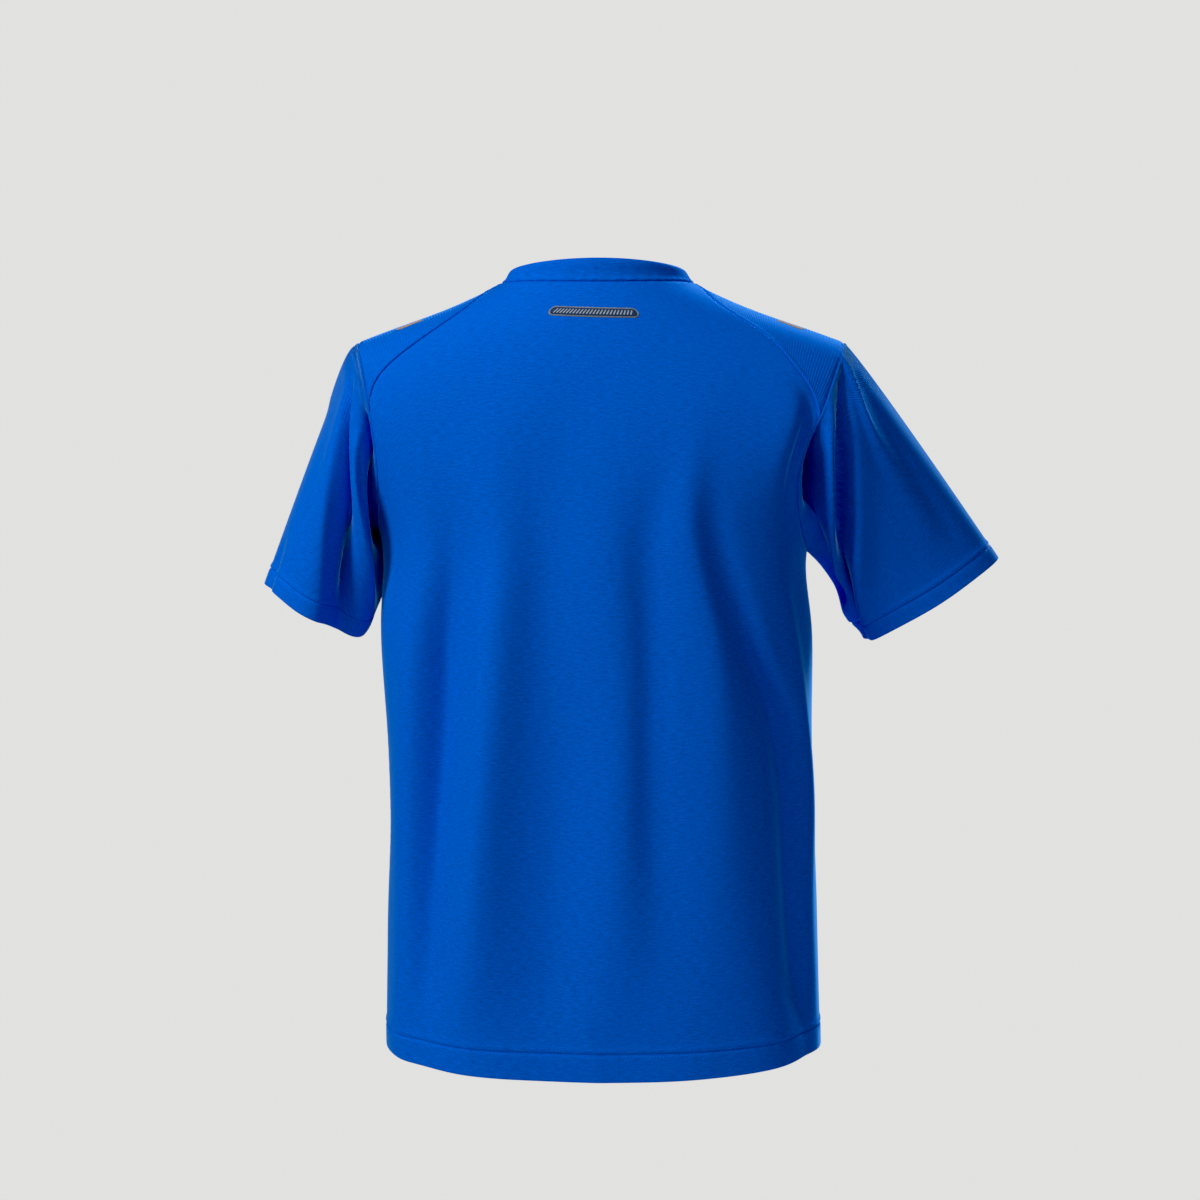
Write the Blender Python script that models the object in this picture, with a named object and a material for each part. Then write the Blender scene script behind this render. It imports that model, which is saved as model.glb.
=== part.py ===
"""Short-sleeved football jersey, hollow and filled out as it is when worn.

Metres, +Z up. The jersey faces -Y, its back faces +Y, and the wearer's left is +X.
The origin is the middle of the neck opening, level with the tops of the shoulder lines.

Every point of the body lies on one closed surface, body_point(turn, level):
  turn   radians round the body: 0 at the left side, a quarter turn at the middle of the back,
         a half turn at the right side and three quarters at the middle of the front
  level  counts the rows of SECTIONS, from HEM up to NECK at the collar seam, and on to
         COLLAR_TOP at the free edge of the collar
The panels are patches of that surface between the seams. A sleeve is a loft from the armhole to
the cuff, sleeve_point(side, round, run). Each cloth piece is a closed wall, 0.3 mm clear of the
piece it is sewn to.
"""
import math

import bmesh
import bpy
import numpy as np

# ---- cloth ----------------------------------------------------------------------------------
CLOTH = 0.0012            # wall of one layer of knit
HEM_CLOTH = 0.0020        # wall where the hem is turned up
COLLAR_CLOTH = 0.0022     # folded collar band
TRANSFER = 0.0005         # heat-pressed patch and bars
SEAM_DRAW = 0.00022       # each piece stops this far short of its seam: about 0.3 mm between two
TRANSFER_GAP = 0.0005     # from the panel to a transfer, over the panel's flat facets
HEM_DEPTH = 0.021         # body hem, from the edge to its stitches
CUFF_DEPTH = 0.020        # sleeve hem, from the edge to its stitches

# ---- body sections, hem to collar -------------------------------------------------------------
# side_x and side_z: the ring's reach at the side, and the height there
# back_y, back_z, front_y, front_z: the ring's middle points at the back and the front
# shift_x: the ring's centre, to the wearer's left; corner: how square the ring is (0 an ellipse)
SECTION_COLUMNS = ("side_x", "side_z", "back_y", "back_z", "front_y", "front_z", "shift_x", "corner")
SECTIONS = (
    (0.202, -0.711, 0.124, -0.726, -0.120, -0.722, -0.0055, 0.20),  # hem
    (0.202, -0.640, 0.125, -0.646, -0.121, -0.643, -0.004, 0.19),   # hip
    (0.200, -0.480, 0.128, -0.485, -0.123, -0.483, -0.001, 0.17),   # waist
    (0.198, -0.330, 0.132, -0.330, -0.127, -0.330, 0.001, 0.16),    # lower chest
    (0.203, -0.228, 0.130, -0.235, -0.126, -0.245, 0.003, 0.15),    # armpit
    (0.262, -0.110, 0.1225, -0.160, -0.1195, -0.190, -0.002, 0.12),  # shoulder blades
    (0.231, -0.057, 0.109, -0.095, -0.109, -0.145, -0.003, 0.08),   # shoulder points
    (0.152, -0.028, 0.090, -0.040, -0.097, -0.112, -0.001, 0.04),   # middle of the shoulder line
    (0.090, 0.000, 0.068, -0.006, -0.084, -0.086, 0.000, 0.02),     # collar seam
    (0.081, 0.012, 0.061, 0.0165, -0.074, -0.067, 0.000, 0.02),    # top of the collar
)
HEM, NECK, COLLAR_TOP = 0, 8, 9

# ---- seams --------------------------------------------------------------------------------------
# The armhole is an oval in turn and level; back_turn and front_turn are how far it cuts in.
ARMHOLE_COLUMNS = ("back_turn", "front_turn", "top_level", "pit_level")
ARMHOLES = {
    "left": (41.0, 38.0, 6.05, 4.0),
    "right": (45.0, 38.0, 6.05, 3.8),
}
MIDDLE_PIT_LEVEL = 3.6    # where the row of cloth through the armpits crosses the middle
# The shoulder seams, from the collar seam outwards, both with the turns of the left side. Each
# ends on the armhole, at an angle round it from the shoulder point.
SHOULDER_SEAM_COLUMNS = ("turn", "level")
SHOULDER_SEAMS = {
    ("left", "back"): ((6.0, 8.0), (26.0, 7.4), (36.0, 6.8), (40.0, 6.1)),
    ("right", "back"): ((6.0, 8.0), (33.0, 7.4), (41.0, 6.55), (46.5, 5.75)),
    ("left", "front"): ((-12.0, 8.0), (-25.0, 7.4), (-32.0, 6.8), (-35.0, 6.1)),
    ("right", "front"): ((-12.0, 8.0), (-25.0, 7.4), (-32.0, 6.8), (-35.0, 6.1)),
}
SHOULDER_SEAM_ENDS = {"back": 86.0, "front": 74.0}

# ---- sleeves ------------------------------------------------------------------------------------
# centre_x, _y, _z: middle of the cuff; swing: how far the arm is held out from straight down;
# forward: how far it leans to the front; slope: how far the cuff rises to the outside, seen from
# behind; half_width across the cuff, half_depth from front to back
SLEEVE_COLUMNS = ("centre_x", "centre_y", "centre_z", "swing", "forward", "slope", "half_width",
                  "half_depth")
SLEEVES = {
    "left": (0.2680, -0.010, -0.3065, 20.0, 3.0, 29.0, 0.0525, 0.065),
    "right": (-0.3145, -0.012, -0.2955, 34.0, 4.0, 31.0, 0.0745, 0.046),
}
# How far the cuff's edge hangs below a flat oval, every CUFF_DROP_STEP degrees round it
CUFF_DROP_STEP = 30.0
CUFF_DROPS = {
    "left": (0.0, -0.001, 0.0, 0.002, 0.001, -0.001, -0.020, -0.009, -0.002, 0.0, 0.0, 0.0, 0.0),
    "right": (0.0, 0.0, 0.001, 0.003, 0.003, 0.003, 0.002, 0.001, 0.0, 0.0, 0.0, 0.0, 0.0),
}
# How the cloth runs from the armhole to the cuff, by the angle round the sleeve: how far it leaves
# and arrives sideways rather than down the arm, and the length of each tangent over the sleeve's.
SLEEVE_FLOW_COLUMNS = ("round", "leave_out", "leave_pull", "arrive_out", "arrive_pull")
SLEEVE_FLOW = (
    (0.0, 1.2, 0.14, 0.0, 0.70),
    (45.0, 0.6, 0.20, 0.0, 0.70),
    (90.0, 0.2, 0.35, 0.1, 0.75),
    (135.0, 1.5, 0.25, 0.5, 0.80),
    (180.0, 4.0, 0.25, 0.4, 0.80),
)

SLEEVE_LENGTH = 0.22      # usual length from the armhole to the cuff
MITRE_LIMIT = 1.6         # most that a wall is widened where two pieces meet at an angle

# ---- folds --------------------------------------------------------------------------------------
# On the body: where a fold starts and ends (turn in degrees, height in metres), its half width in
# degrees of turn there, and its height, positive for a ridge and negative for a trough.
BODY_FOLD_COLUMNS = ("turn_top", "z_top", "turn_low", "z_low", "width_top", "width_low", "height")
BODY_FOLDS = (
    (38.0, -0.17, 24.0, -0.72, 9.0, 9.0, 0.004),      # back: ridge by the left side seam
    (49.0, -0.15, 33.0, -0.60, 8.0, 8.0, -0.010),     # back: left trough
    (61.0, -0.16, 48.0, -0.66, 9.0, 8.0, 0.007),      # back: left ridge
    (76.0, -0.14, 78.0, -0.60, 13.0, 13.0, -0.006),   # back: middle trough
    (94.0, -0.16, 96.0, -0.55, 10.0, 10.0, 0.004),    # back: middle ridge
    (107.0, -0.15, 112.0, -0.52, 9.0, 9.0, -0.007),   # back: right of the middle
    (117.0, -0.13, 131.0, -0.64, 7.0, 12.0, 0.007),   # back: slanting ridge
    (125.0, -0.14, 148.0, -0.70, 7.0, 10.0, -0.009),  # back: slanting trough
    (158.0, -0.20, 160.0, -0.70, 8.0, 8.0, 0.005),    # back: ridge by the right side seam
    (236.0, -0.20, 246.0, -0.66, 9.0, 11.0, -0.007),  # front: right trough
    (262.0, -0.24, 264.0, -0.70, 11.0, 13.0, 0.005),  # front: middle ridge
    (289.0, -0.20, 283.0, -0.64, 9.0, 11.0, -0.006),  # front: left trough
    (318.0, -0.18, 325.0, -0.70, 8.0, 10.0, -0.007),  # front: by the left side seam
)
BODY_FOLD_RISE = 0.25     # of a fold's length, over which it swells from nothing
BODY_FOLD_FADE = 0.35     # and over which it dies away

# On a sleeve: degrees round at the armhole and at the cuff, half width in degrees, height, and
# the stretch of the sleeve's length that it covers.
SLEEVE_FOLD_COLUMNS = ("round_top", "round_low", "width", "height", "start", "end")
SLEEVE_FOLDS = {
    "left": (
        (100.0, 121.0, 15.0, -0.011, 0.10, 1.40),     # back: wide trough
        (124.0, 148.0, 11.0, 0.006, 0.10, 1.40),      # back: narrow blade
        (292.0, 276.0, 17.0, -0.008, 0.15, 1.40),     # front: trough
    ),
    "right": (
        (96.0, 134.0, 14.0, -0.014, 0.08, 1.40),      # back: deep trough behind the arm
        (126.0, 162.0, 12.0, 0.005, 0.08, 1.10),      # back: blade by the armpit
        (286.0, 250.0, 18.0, -0.009, 0.12, 1.40),     # front: trough
    ),
}

SLEEVE_FOLD_FADE = 0.3    # of a sleeve fold's stretch, over which it swells and dies away

# ---- transfers ----------------------------------------------------------------------------------
PATCH_TURN = 88.0         # degrees round; a little to the wearer's left of the middle
PATCH_LEVEL = 7.12
PATCH_WIDTH = 0.082
PATCH_HEIGHT = 0.0105
BAR_TURN = 16.0           # just behind the shoulder line, and lying along it
BAR_LEVEL = 6.58
BAR_WIDTH = 0.026
BAR_HEIGHT = 0.007
BLUNT_END = 0.125         # of a transfer's height, left at its two ends

# ---- grids --------------------------------------------------------------------------------------
SEAM_COLUMNS = 8          # along a shoulder seam
NECK_COLUMNS = 22         # across the back, and across the front
BODY_ROWS = 12            # from the hem to the armpit
HOLE_ROWS = 9             # up the armhole, from the armpit to a shoulder seam
SHOULDER_ROWS = 6         # from a shoulder seam to the shoulder line
SLEEVE_ROWS = 10
COLLAR_ROWS = 1
TRANSFER_COLUMNS = 8
TRANSFER_ROWS = 2
STEP = 1e-3               # of turn, level, round or run, to measure a smooth form's slope
FOLD_STEP = 4e-3          # the same, over the folds

COLOURS = {
    "jersey": (0.004, 0.085, 0.52, 1.0),
    "transfer": (0.10, 0.16, 0.28, 1.0),
    "bronze": (0.30, 0.20, 0.10, 1.0),
}


# ---- curves ---------------------------------------------------------------------------------------
def row(columns, values):
    """A table's row as a dictionary, by the names of its columns."""
    return dict(zip(columns, values))


def smooth(x):
    """0 below 0, 1 above 1, and a smooth step between."""
    x = np.clip(x, 0.0, 1.0)
    return x * x * (3.0 - 2.0 * x)


def spline(table, at):
    """Each column of a table at fractional rows, along a natural cubic through its rows."""
    rows = np.asarray(table, dtype=float)
    count = len(rows)
    bends = np.eye(count)
    for i in range(1, count - 1):
        bends[i, i - 1:i + 2] = (1.0, 4.0, 1.0)
    turns = np.zeros_like(rows)
    turns[1:-1] = 6.0 * (rows[2:] - 2.0 * rows[1:-1] + rows[:-2])
    bend = np.linalg.solve(bends, turns)
    low = np.clip(np.floor(at).astype(int), 0, count - 2)
    f = (at - low)[..., None]
    g = 1.0 - f
    return (rows[low] * g + rows[low + 1] * f
            + bend[low] * (g ** 3 - g) / 6.0 + bend[low + 1] * (f ** 3 - f) / 6.0)


def section(level):
    """The columns of SECTIONS at a level: curved up to the collar seam, straight up the collar."""
    body = spline(SECTIONS[:NECK + 1], np.minimum(level, NECK))
    collar = np.asarray(SECTIONS[COLLAR_TOP]) - np.asarray(SECTIONS[NECK])
    return body + collar * np.clip(level - NECK, 0.0, None)[..., None]


def unit(vectors):
    """The vectors at length 1."""
    return vectors / np.maximum(np.linalg.norm(vectors, axis=-1, keepdims=True), 1e-12)


def outward(side):
    """+1 on the wearer's left and -1 on the right: which way along X is away from the body."""
    return 1.0 if side == "left" else -1.0


def facing(face):
    """+1 for the back and -1 for the front: which way round an armhole that face lies."""
    return 1.0 if face == "back" else -1.0


# ---- body surface ---------------------------------------------------------------------------------
def smooth_body(turn, level):
    """A point of the body before its folds."""
    side_x, side_z, back_y, back_z, front_y, front_z, shift_x, corner = np.moveaxis(
        section(level), -1, 0)
    across, along = np.cos(turn), np.sin(turn)
    behind = along >= 0.0
    reach_y = np.where(behind, back_y, -front_y)
    middle_z = np.where(behind, back_z, front_z)
    x = shift_x + side_x * across * (1.0 + corner * along ** 2)
    y = reach_y * along * (1.0 + corner * across ** 2)
    z = side_z + (middle_z - side_z) * along ** 2
    return np.stack([x, y, z], axis=-1)


def surface_normal(point, a, b, step_a, step_b):
    """The normal of point(a, b), by central differences."""
    da = point(a + step_a, b) - point(a - step_a, b)
    db = point(a, b + step_b) - point(a, b - step_b)
    return unit(np.cross(da, db))


def body_fold_height(turn, z):
    """How far the folds lift the cloth off the smooth body."""
    degrees = np.degrees(turn) % 360.0
    total = np.zeros(np.shape(turn))
    for values in BODY_FOLDS:
        fold = row(BODY_FOLD_COLUMNS, values)
        down = (fold["z_top"] - z) / (fold["z_top"] - fold["z_low"])
        run = np.clip(down, 0.0, 1.0)
        centre = fold["turn_top"] + (fold["turn_low"] - fold["turn_top"]) * run
        width = fold["width_top"] + (fold["width_low"] - fold["width_top"]) * run
        swell = smooth(down / BODY_FOLD_RISE) * smooth((1.0 - down) / BODY_FOLD_FADE)
        total += fold["height"] * swell * np.exp(-(((degrees - centre) / width) ** 2))
    return total


def body_point(turn, level):
    """A point of the body, folds included."""
    turn, level = np.broadcast_arrays(np.asarray(turn, float), np.asarray(level, float))
    base = smooth_body(turn, level)
    normal = surface_normal(smooth_body, turn, level, STEP, STEP)
    return base + normal * body_fold_height(turn, base[..., 2])[..., None]


def body_normal(turn, level):
    """Outward normal of the folded body."""
    return surface_normal(body_point, turn, level, FOLD_STEP, FOLD_STEP)


# ---- seam lines -----------------------------------------------------------------------------------
def on_side(side, turn):
    """A turn on the left side, moved to the wanted side; a turn on the right, moved back again."""
    return turn if side == "left" else math.pi - turn


def armhole(side, round_):
    """Turn and level at an angle round the armhole: 0 at the shoulder point, then the back."""
    hole = row(ARMHOLE_COLUMNS, ARMHOLES[side])
    behind = np.sin(round_) >= 0.0
    reach = np.radians(np.where(behind, hole["back_turn"], hole["front_turn"]))
    middle = (hole["top_level"] + hole["pit_level"]) / 2.0
    half = (hole["top_level"] - hole["pit_level"]) / 2.0
    turn = on_side(side, reach * np.sin(round_))
    return turn, middle + half * np.cos(round_)


def shoulder_seam(side, face, f):
    """Turn and level along a shoulder seam, from the collar seam (f = 0) to the armhole (f = 1)."""
    end = facing(face) * math.radians(SHOULDER_SEAM_ENDS[face])
    end_turn, end_level = armhole(side, np.asarray(end))
    table = [(math.radians(turn), level) for turn, level in SHOULDER_SEAMS[side, face]]
    table.append((float(on_side(side, end_turn)), float(end_level)))
    line = spline(table, f * (len(table) - 1))
    return on_side(side, line[..., 0]), line[..., 1]


# ---- sleeve surface -------------------------------------------------------------------------------
def sleeve_axes(side):
    """Down the arm, across the cuff towards the outside, and towards the back."""
    sleeve = row(SLEEVE_COLUMNS, SLEEVES[side])
    out = outward(side)
    swing, forward = math.radians(sleeve["swing"]), math.radians(sleeve["forward"])
    slope = math.radians(sleeve["slope"])
    down = np.array([out * math.sin(swing), -math.sin(forward), -math.cos(swing)])
    down = down / np.linalg.norm(down)
    across = np.array([out * math.cos(slope), 0.0, math.sin(slope)])
    back = np.cross(across, down) * out
    return down, across, back / np.linalg.norm(back)


def cuff_point(side, round_):
    """A point of the cuff's edge."""
    sleeve = row(SLEEVE_COLUMNS, SLEEVES[side])
    down, across, back = sleeve_axes(side)
    centre = np.array([sleeve["centre_x"], sleeve["centre_y"], sleeve["centre_z"]])
    steps = np.degrees(round_) % 360.0 / CUFF_DROP_STEP
    drop = spline(np.array(CUFF_DROPS[side])[:, None], steps)
    return (centre
            + across * (sleeve["half_width"] * np.cos(round_))[..., None]
            + back * (sleeve["half_depth"] * np.sin(round_))[..., None]
            + down * drop)


def smooth_sleeve(side, round_, run):
    """A point of the sleeve before its folds; run is 0 at the armhole and 1 at the cuff."""
    out = np.array([outward(side), 0.0, 0.0])
    down, _, _ = sleeve_axes(side)
    start = body_point(*armhole(side, round_))
    end = cuff_point(side, round_)
    from_top = np.degrees(np.arccos(np.clip(np.cos(round_), -1.0, 1.0)))
    flow = spline(SLEEVE_FLOW, from_top / SLEEVE_FLOW[1][0])
    _, leave_out, leave_pull, arrive_out, arrive_pull = np.moveaxis(flow[..., None], -2, 0)
    length = np.linalg.norm(end - start, axis=-1, keepdims=True)
    leave = unit(down + out * leave_out) * length * leave_pull
    arrive = unit(down + out * arrive_out) * length * arrive_pull
    f = run[..., None]
    h = f * f * (3.0 - 2.0 * f)
    return (start * (1.0 - h) + end * h
            + leave * (f * (1.0 - f) ** 2) + arrive * (f * f * (f - 1.0)))


def sleeve_fold_height(side, round_, run):
    """How far the folds lift the sleeve's cloth."""
    degrees = np.degrees(round_) % 360.0
    total = np.zeros(np.shape(round_))
    for values in SLEEVE_FOLDS[side]:
        fold = row(SLEEVE_FOLD_COLUMNS, values)
        centre = fold["round_top"] + (fold["round_low"] - fold["round_top"]) * run
        along = (run - fold["start"]) / (fold["end"] - fold["start"])
        swell = smooth(along / SLEEVE_FOLD_FADE) * smooth((1.0 - along) / SLEEVE_FOLD_FADE)
        total += fold["height"] * swell * np.exp(-(((degrees - centre) / fold["width"]) ** 2))
    return total


def sleeve_point(side, round_, run):
    """A point of the sleeve, folds included."""
    round_, run = np.broadcast_arrays(np.asarray(round_, float), np.asarray(run, float))

    def plain(a, b):
        return smooth_sleeve(side, a, b)

    normal = surface_normal(plain, round_, run, STEP, STEP) * -outward(side)
    return plain(round_, run) + normal * sleeve_fold_height(side, round_, run)[..., None]


def sleeve_normal(side, round_, run):
    """Outward normal of the folded sleeve."""

    def folded(a, b):
        return sleeve_point(side, a, b)

    return surface_normal(folded, round_, run, FOLD_STEP, FOLD_STEP) * -outward(side)


def armhole_mitre(side, round_):
    """The direction that halves the angle between the body and the sleeve at their seam."""
    body = body_normal(*armhole(side, round_))
    sleeve = sleeve_normal(side, round_, np.full(np.shape(round_), FOLD_STEP))
    both = unit(body + sleeve)
    return both / np.maximum((both * body).sum(-1, keepdims=True), 1.0 / MITRE_LIMIT)


def mitre_draw(mitres):
    """How far to draw in an edge that ends on these mitres, to keep a seam's gap between the ends."""
    return SEAM_DRAW * (mitres ** 2).sum(-1)


# ---- walls ----------------------------------------------------------------------------------------
def draw_in(points, edge, amount=SEAM_DRAW):
    """Move one edge of a grid of points back across the cloth, to leave its half of a seam's gap."""
    line, inner = {
        "first_row": (points[0], points[1]),
        "last_row": (points[-1], points[-2]),
        "first_column": (points[:, 0], points[:, 1]),
        "last_column": (points[:, -1], points[:, -2]),
    }[edge]
    along = unit(np.gradient(line, axis=0))
    across = inner - line
    across = across - along * (across * along).sum(-1, keepdims=True)
    line += unit(across) * np.reshape(amount, (-1, 1))


def add_wall(name, points, normals, thickness, material, closed=False):
    """A closed wall round a grid of middle points: rows by columns, closed round if it is a tube."""
    half = normals * (np.broadcast_to(thickness, points.shape[:2])[..., None] / 2.0)
    rows, columns = points.shape[:2]
    mesh = bmesh.new()
    outer = [[mesh.verts.new(p) for p in line] for line in points + half]
    inner = [[mesh.verts.new(p) for p in line] for line in points - half]
    spans = columns if closed else columns - 1
    for i in range(rows - 1):
        for j in range(spans):
            k = (j + 1) % columns
            mesh.faces.new((outer[i][j], outer[i][k], outer[i + 1][k], outer[i + 1][j]))
            mesh.faces.new((inner[i][j], inner[i + 1][j], inner[i + 1][k], inner[i][k]))
    for j in range(spans):
        k = (j + 1) % columns
        mesh.faces.new((outer[0][k], outer[0][j], inner[0][j], inner[0][k]))
        mesh.faces.new((outer[-1][j], outer[-1][k], inner[-1][k], inner[-1][j]))
    if not closed:
        for i in range(rows - 1):
            mesh.faces.new((outer[i][0], outer[i + 1][0], inner[i + 1][0], inner[i][0]))
            mesh.faces.new((outer[i + 1][-1], outer[i][-1], inner[i][-1], inner[i + 1][-1]))
    bmesh.ops.triangulate(mesh, faces=mesh.faces[:])
    if mesh.calc_volume(signed=True) < 0.0:
        bmesh.ops.reverse_faces(mesh, faces=mesh.faces[:])
    data = bpy.data.meshes.new(name)
    mesh.to_mesh(data)
    mesh.free()
    data.shade_smooth()
    data.set_sharp_from_angle(angle=math.radians(50.0))
    data.materials.append(material)
    piece = bpy.data.objects.new(name, data)
    bpy.context.scene.collection.objects.link(piece)
    return piece


# ---- panels ---------------------------------------------------------------------------------------
def coons(low, high, first, last):
    """A grid inside four edges: low and high run along the columns, first and last up the rows."""
    rows, columns = len(first), len(low)
    v = np.linspace(0.0, 1.0, rows)[:, None, None]
    u = np.linspace(0.0, 1.0, columns)[None, :, None]
    corners = ((1 - v) * ((1 - u) * low[0] + u * low[-1])
               + v * ((1 - u) * high[0] + u * high[-1]))
    return (1 - v) * low[None] + v * high[None] + (1 - u) * first[:, None] + u * last[:, None] - corners


def pairs(turn, level):
    """Turns and levels as rows of (turn, level)."""
    turn, level = np.broadcast_arrays(turn, level)
    return np.stack([turn, level], axis=-1)


def hole_rounds(face):
    """Angles round the armhole from the armpit to a shoulder seam, on one face."""
    return facing(face) * np.radians(np.linspace(180.0, SHOULDER_SEAM_ENDS[face], HOLE_ROWS + 1))


def shoulder_rounds(face):
    """Angles round the armhole from a shoulder seam to the shoulder point, on one face."""
    return facing(face) * np.radians(np.linspace(SHOULDER_SEAM_ENDS[face], 0.0, SHOULDER_ROWS + 1))


def seam_pairs(side, face):
    """Points along a shoulder seam, from the collar seam to the armhole."""
    return pairs(*shoulder_seam(side, face, np.linspace(0.0, 1.0, SEAM_COLUMNS + 1)))


def rows_to(level):
    """Levels of the rows from the hem up to a level; the second row is the top of the hem."""
    hem_top = HEM_DEPTH / (SECTIONS[1][1] - SECTIONS[0][1])
    return np.concatenate([[HEM], np.linspace(hem_top, level, BODY_ROWS)])


def panel_edge(side, face):
    """One edge of the back or the front: side seam, armhole and shoulder seam, hem to collar."""
    levels = rows_to(row(ARMHOLE_COLUMNS, ARMHOLES[side])["pit_level"])
    side_seam = pairs(np.full(len(levels), on_side(side, 0.0)), levels)
    hole = pairs(*armhole(side, hole_rounds(face)))
    edge = np.concatenate([side_seam, hole[1:], seam_pairs(side, face)[::-1][1:]])
    if face == "front" and side == "right":
        edge = edge - [2.0 * math.pi, 0.0]
    return edge


def body_panel_grid(face):
    """Turn and level over the back or the front: rows hem to collar, columns left to right."""
    part = np.linspace(0.0, 1.0, NECK_COLUMNS + 1)
    left, right = panel_edge("left", face), panel_edge("right", face)
    grid = left[:, None] * (1.0 - part)[:, None] + right[:, None] * part[:, None]
    seams = grid[-SEAM_COLUMNS - 1:, 0, 1]
    across_chest = np.linspace(MIDDLE_PIT_LEVEL, seams[0], HOLE_ROWS + 1)
    middle = np.concatenate([rows_to(MIDDLE_PIT_LEVEL), across_chest[1:], seams[1:]])
    bend = 1.0 - (2.0 * part - 1.0) ** 2
    grid[..., 1] += bend * (middle[:, None] - grid[..., 1])
    return grid


def add_body_panel(name, face, material):
    """The back or the front: from hem to collar, between the side seams and armholes."""
    grid = body_panel_grid(face)
    points = body_point(grid[..., 0], grid[..., 1])
    normals = body_normal(grid[..., 0], grid[..., 1])
    rounds = hole_rounds(face)
    hole_rows = slice(BODY_ROWS, BODY_ROWS + len(rounds))
    draw_in(points, "last_row")
    for side, edge, column in (("left", "first_column", 0), ("right", "last_column", -1)):
        amount = np.full(len(points), SEAM_DRAW)
        normals[hole_rows, column] = armhole_mitre(side, rounds)
        amount[hole_rows] = mitre_draw(normals[hole_rows, column])
        draw_in(points, edge, amount)
    thickness = np.full(grid.shape[:2], CLOTH)
    thickness[:2] = HEM_CLOTH
    return add_wall(name, points, normals, thickness, material)


def shoulder_panel_grid(side):
    """Turn and level over a shoulder panel, back seam to front seam, collar to armhole."""
    back, front = seam_pairs(side, "back"), seam_pairs(side, "front")
    rounds = np.concatenate([shoulder_rounds("back"), shoulder_rounds("front")[::-1][1:]])
    neck = pairs(np.linspace(back[0, 0], front[0, 0], 2 * SHOULDER_ROWS + 1), float(NECK))
    return coons(back, front, neck, pairs(*armhole(side, rounds))), rounds


def add_shoulder_panel(side, material):
    """The panel over one shoulder."""
    grid, rounds = shoulder_panel_grid(side)
    points = body_point(grid[..., 0], grid[..., 1])
    normals = body_normal(grid[..., 0], grid[..., 1])
    normals[:, -1] = armhole_mitre(side, rounds)
    for edge in ("first_row", "last_row", "first_column"):
        draw_in(points, edge)
    draw_in(points, "last_column", mitre_draw(normals[:, -1]))
    return add_wall("shoulder_panel_" + side, points, normals, CLOTH, material)


def add_sleeve(side, material):
    """A set-in sleeve, from the armhole to its turned-up cuff."""
    rounds = np.concatenate([
        shoulder_rounds("back")[::-1], hole_rounds("back")[::-1][1:],
        2.0 * math.pi + hole_rounds("front")[1:], 2.0 * math.pi + shoulder_rounds("front")[1:-1]])
    cuff_start = 1.0 - CUFF_DEPTH / SLEEVE_LENGTH
    run = np.append(np.linspace(0.0, cuff_start, SLEEVE_ROWS), 1.0)
    round_grid, run_grid = np.meshgrid(rounds, run)
    points = sleeve_point(side, round_grid, run_grid)
    normals = sleeve_normal(side, round_grid, run_grid)
    normals[0] = armhole_mitre(side, rounds)
    thickness = np.full(round_grid.shape, CLOTH)
    thickness[-2:] = HEM_CLOTH
    draw_in(points, "first_row", mitre_draw(normals[0]))
    return add_wall("sleeve_" + side, points, normals, thickness, material, closed=True)


def add_collar(material):
    """The collar band, standing up from the neck opening."""
    left = shoulder_panel_grid("left")[0][:, 0, 0]
    right = shoulder_panel_grid("right")[0][:, 0, 0]
    back, front = body_panel_grid("back")[-1, :, 0], body_panel_grid("front")[-1, :, 0]
    turns = np.concatenate([
        left[::-1][:-1], back[:-1], right[:-1], front[::-1][:-1] + 2.0 * math.pi])
    levels = np.linspace(NECK, COLLAR_TOP, COLLAR_ROWS + 1)
    turn_grid, level_grid = np.meshgrid(turns, levels)
    points = body_point(turn_grid, level_grid)
    normals = body_normal(turn_grid, level_grid)
    draw_in(points, "first_row")
    return add_wall("collar", points, normals, COLLAR_CLOTH, material, closed=True)


# ---- transfers ------------------------------------------------------------------------------------
def stadium(width, height, columns, rows):
    """A grid of plane points filling a bar with round ends: across and up, from its middle."""
    straight = (width - height) / 2.0
    across = np.linspace(-width / 2.0, width / 2.0, columns + 1)
    beyond = np.clip(np.abs(across) - straight, 0.0, None)
    blunt = height * BLUNT_END
    reach = np.sqrt(np.clip((height / 2.0) ** 2 - beyond ** 2, blunt ** 2, None))
    up = np.linspace(-1.0, 1.0, rows + 1)[:, None] * reach[None, :]
    return np.broadcast_to(across, up.shape), up


def add_transfer(name, turn, level, width, height, material, upright=False):
    """A thin bar pressed on to the body's cloth at (turn, level), lying across it or upright."""
    per_turn = np.linalg.norm(body_point(turn + STEP, level) - body_point(turn, level)) / STEP
    per_level = np.linalg.norm(body_point(turn, level + STEP) - body_point(turn, level)) / STEP
    across, up = stadium(width, height, TRANSFER_COLUMNS, TRANSFER_ROWS)
    if upright:
        across, up = up, across
    turns, levels = turn + across / per_turn, level + up / per_level
    normals = body_normal(turns, levels)
    lift = CLOTH / 2.0 + TRANSFER_GAP + TRANSFER / 2.0
    points = body_point(turns, levels) + normals * lift
    return add_wall(name, points, normals, TRANSFER, material)


# ---- the object -----------------------------------------------------------------------------------
def make_material(name, colour, roughness, metallic=0.0):
    """A Principled material of one colour."""
    material = bpy.data.materials.new(name)
    material.use_nodes = True
    shader = material.node_tree.nodes["Principled BSDF"]
    shader.inputs["Base Color"].default_value = colour
    shader.inputs["Roughness"].default_value = roughness
    shader.inputs["Metallic"].default_value = metallic
    return material


def cloth_material(name):
    """The jersey's blue knit, one material for each piece."""
    return make_material(name + "_knit", COLOURS["jersey"], 0.55)


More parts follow.
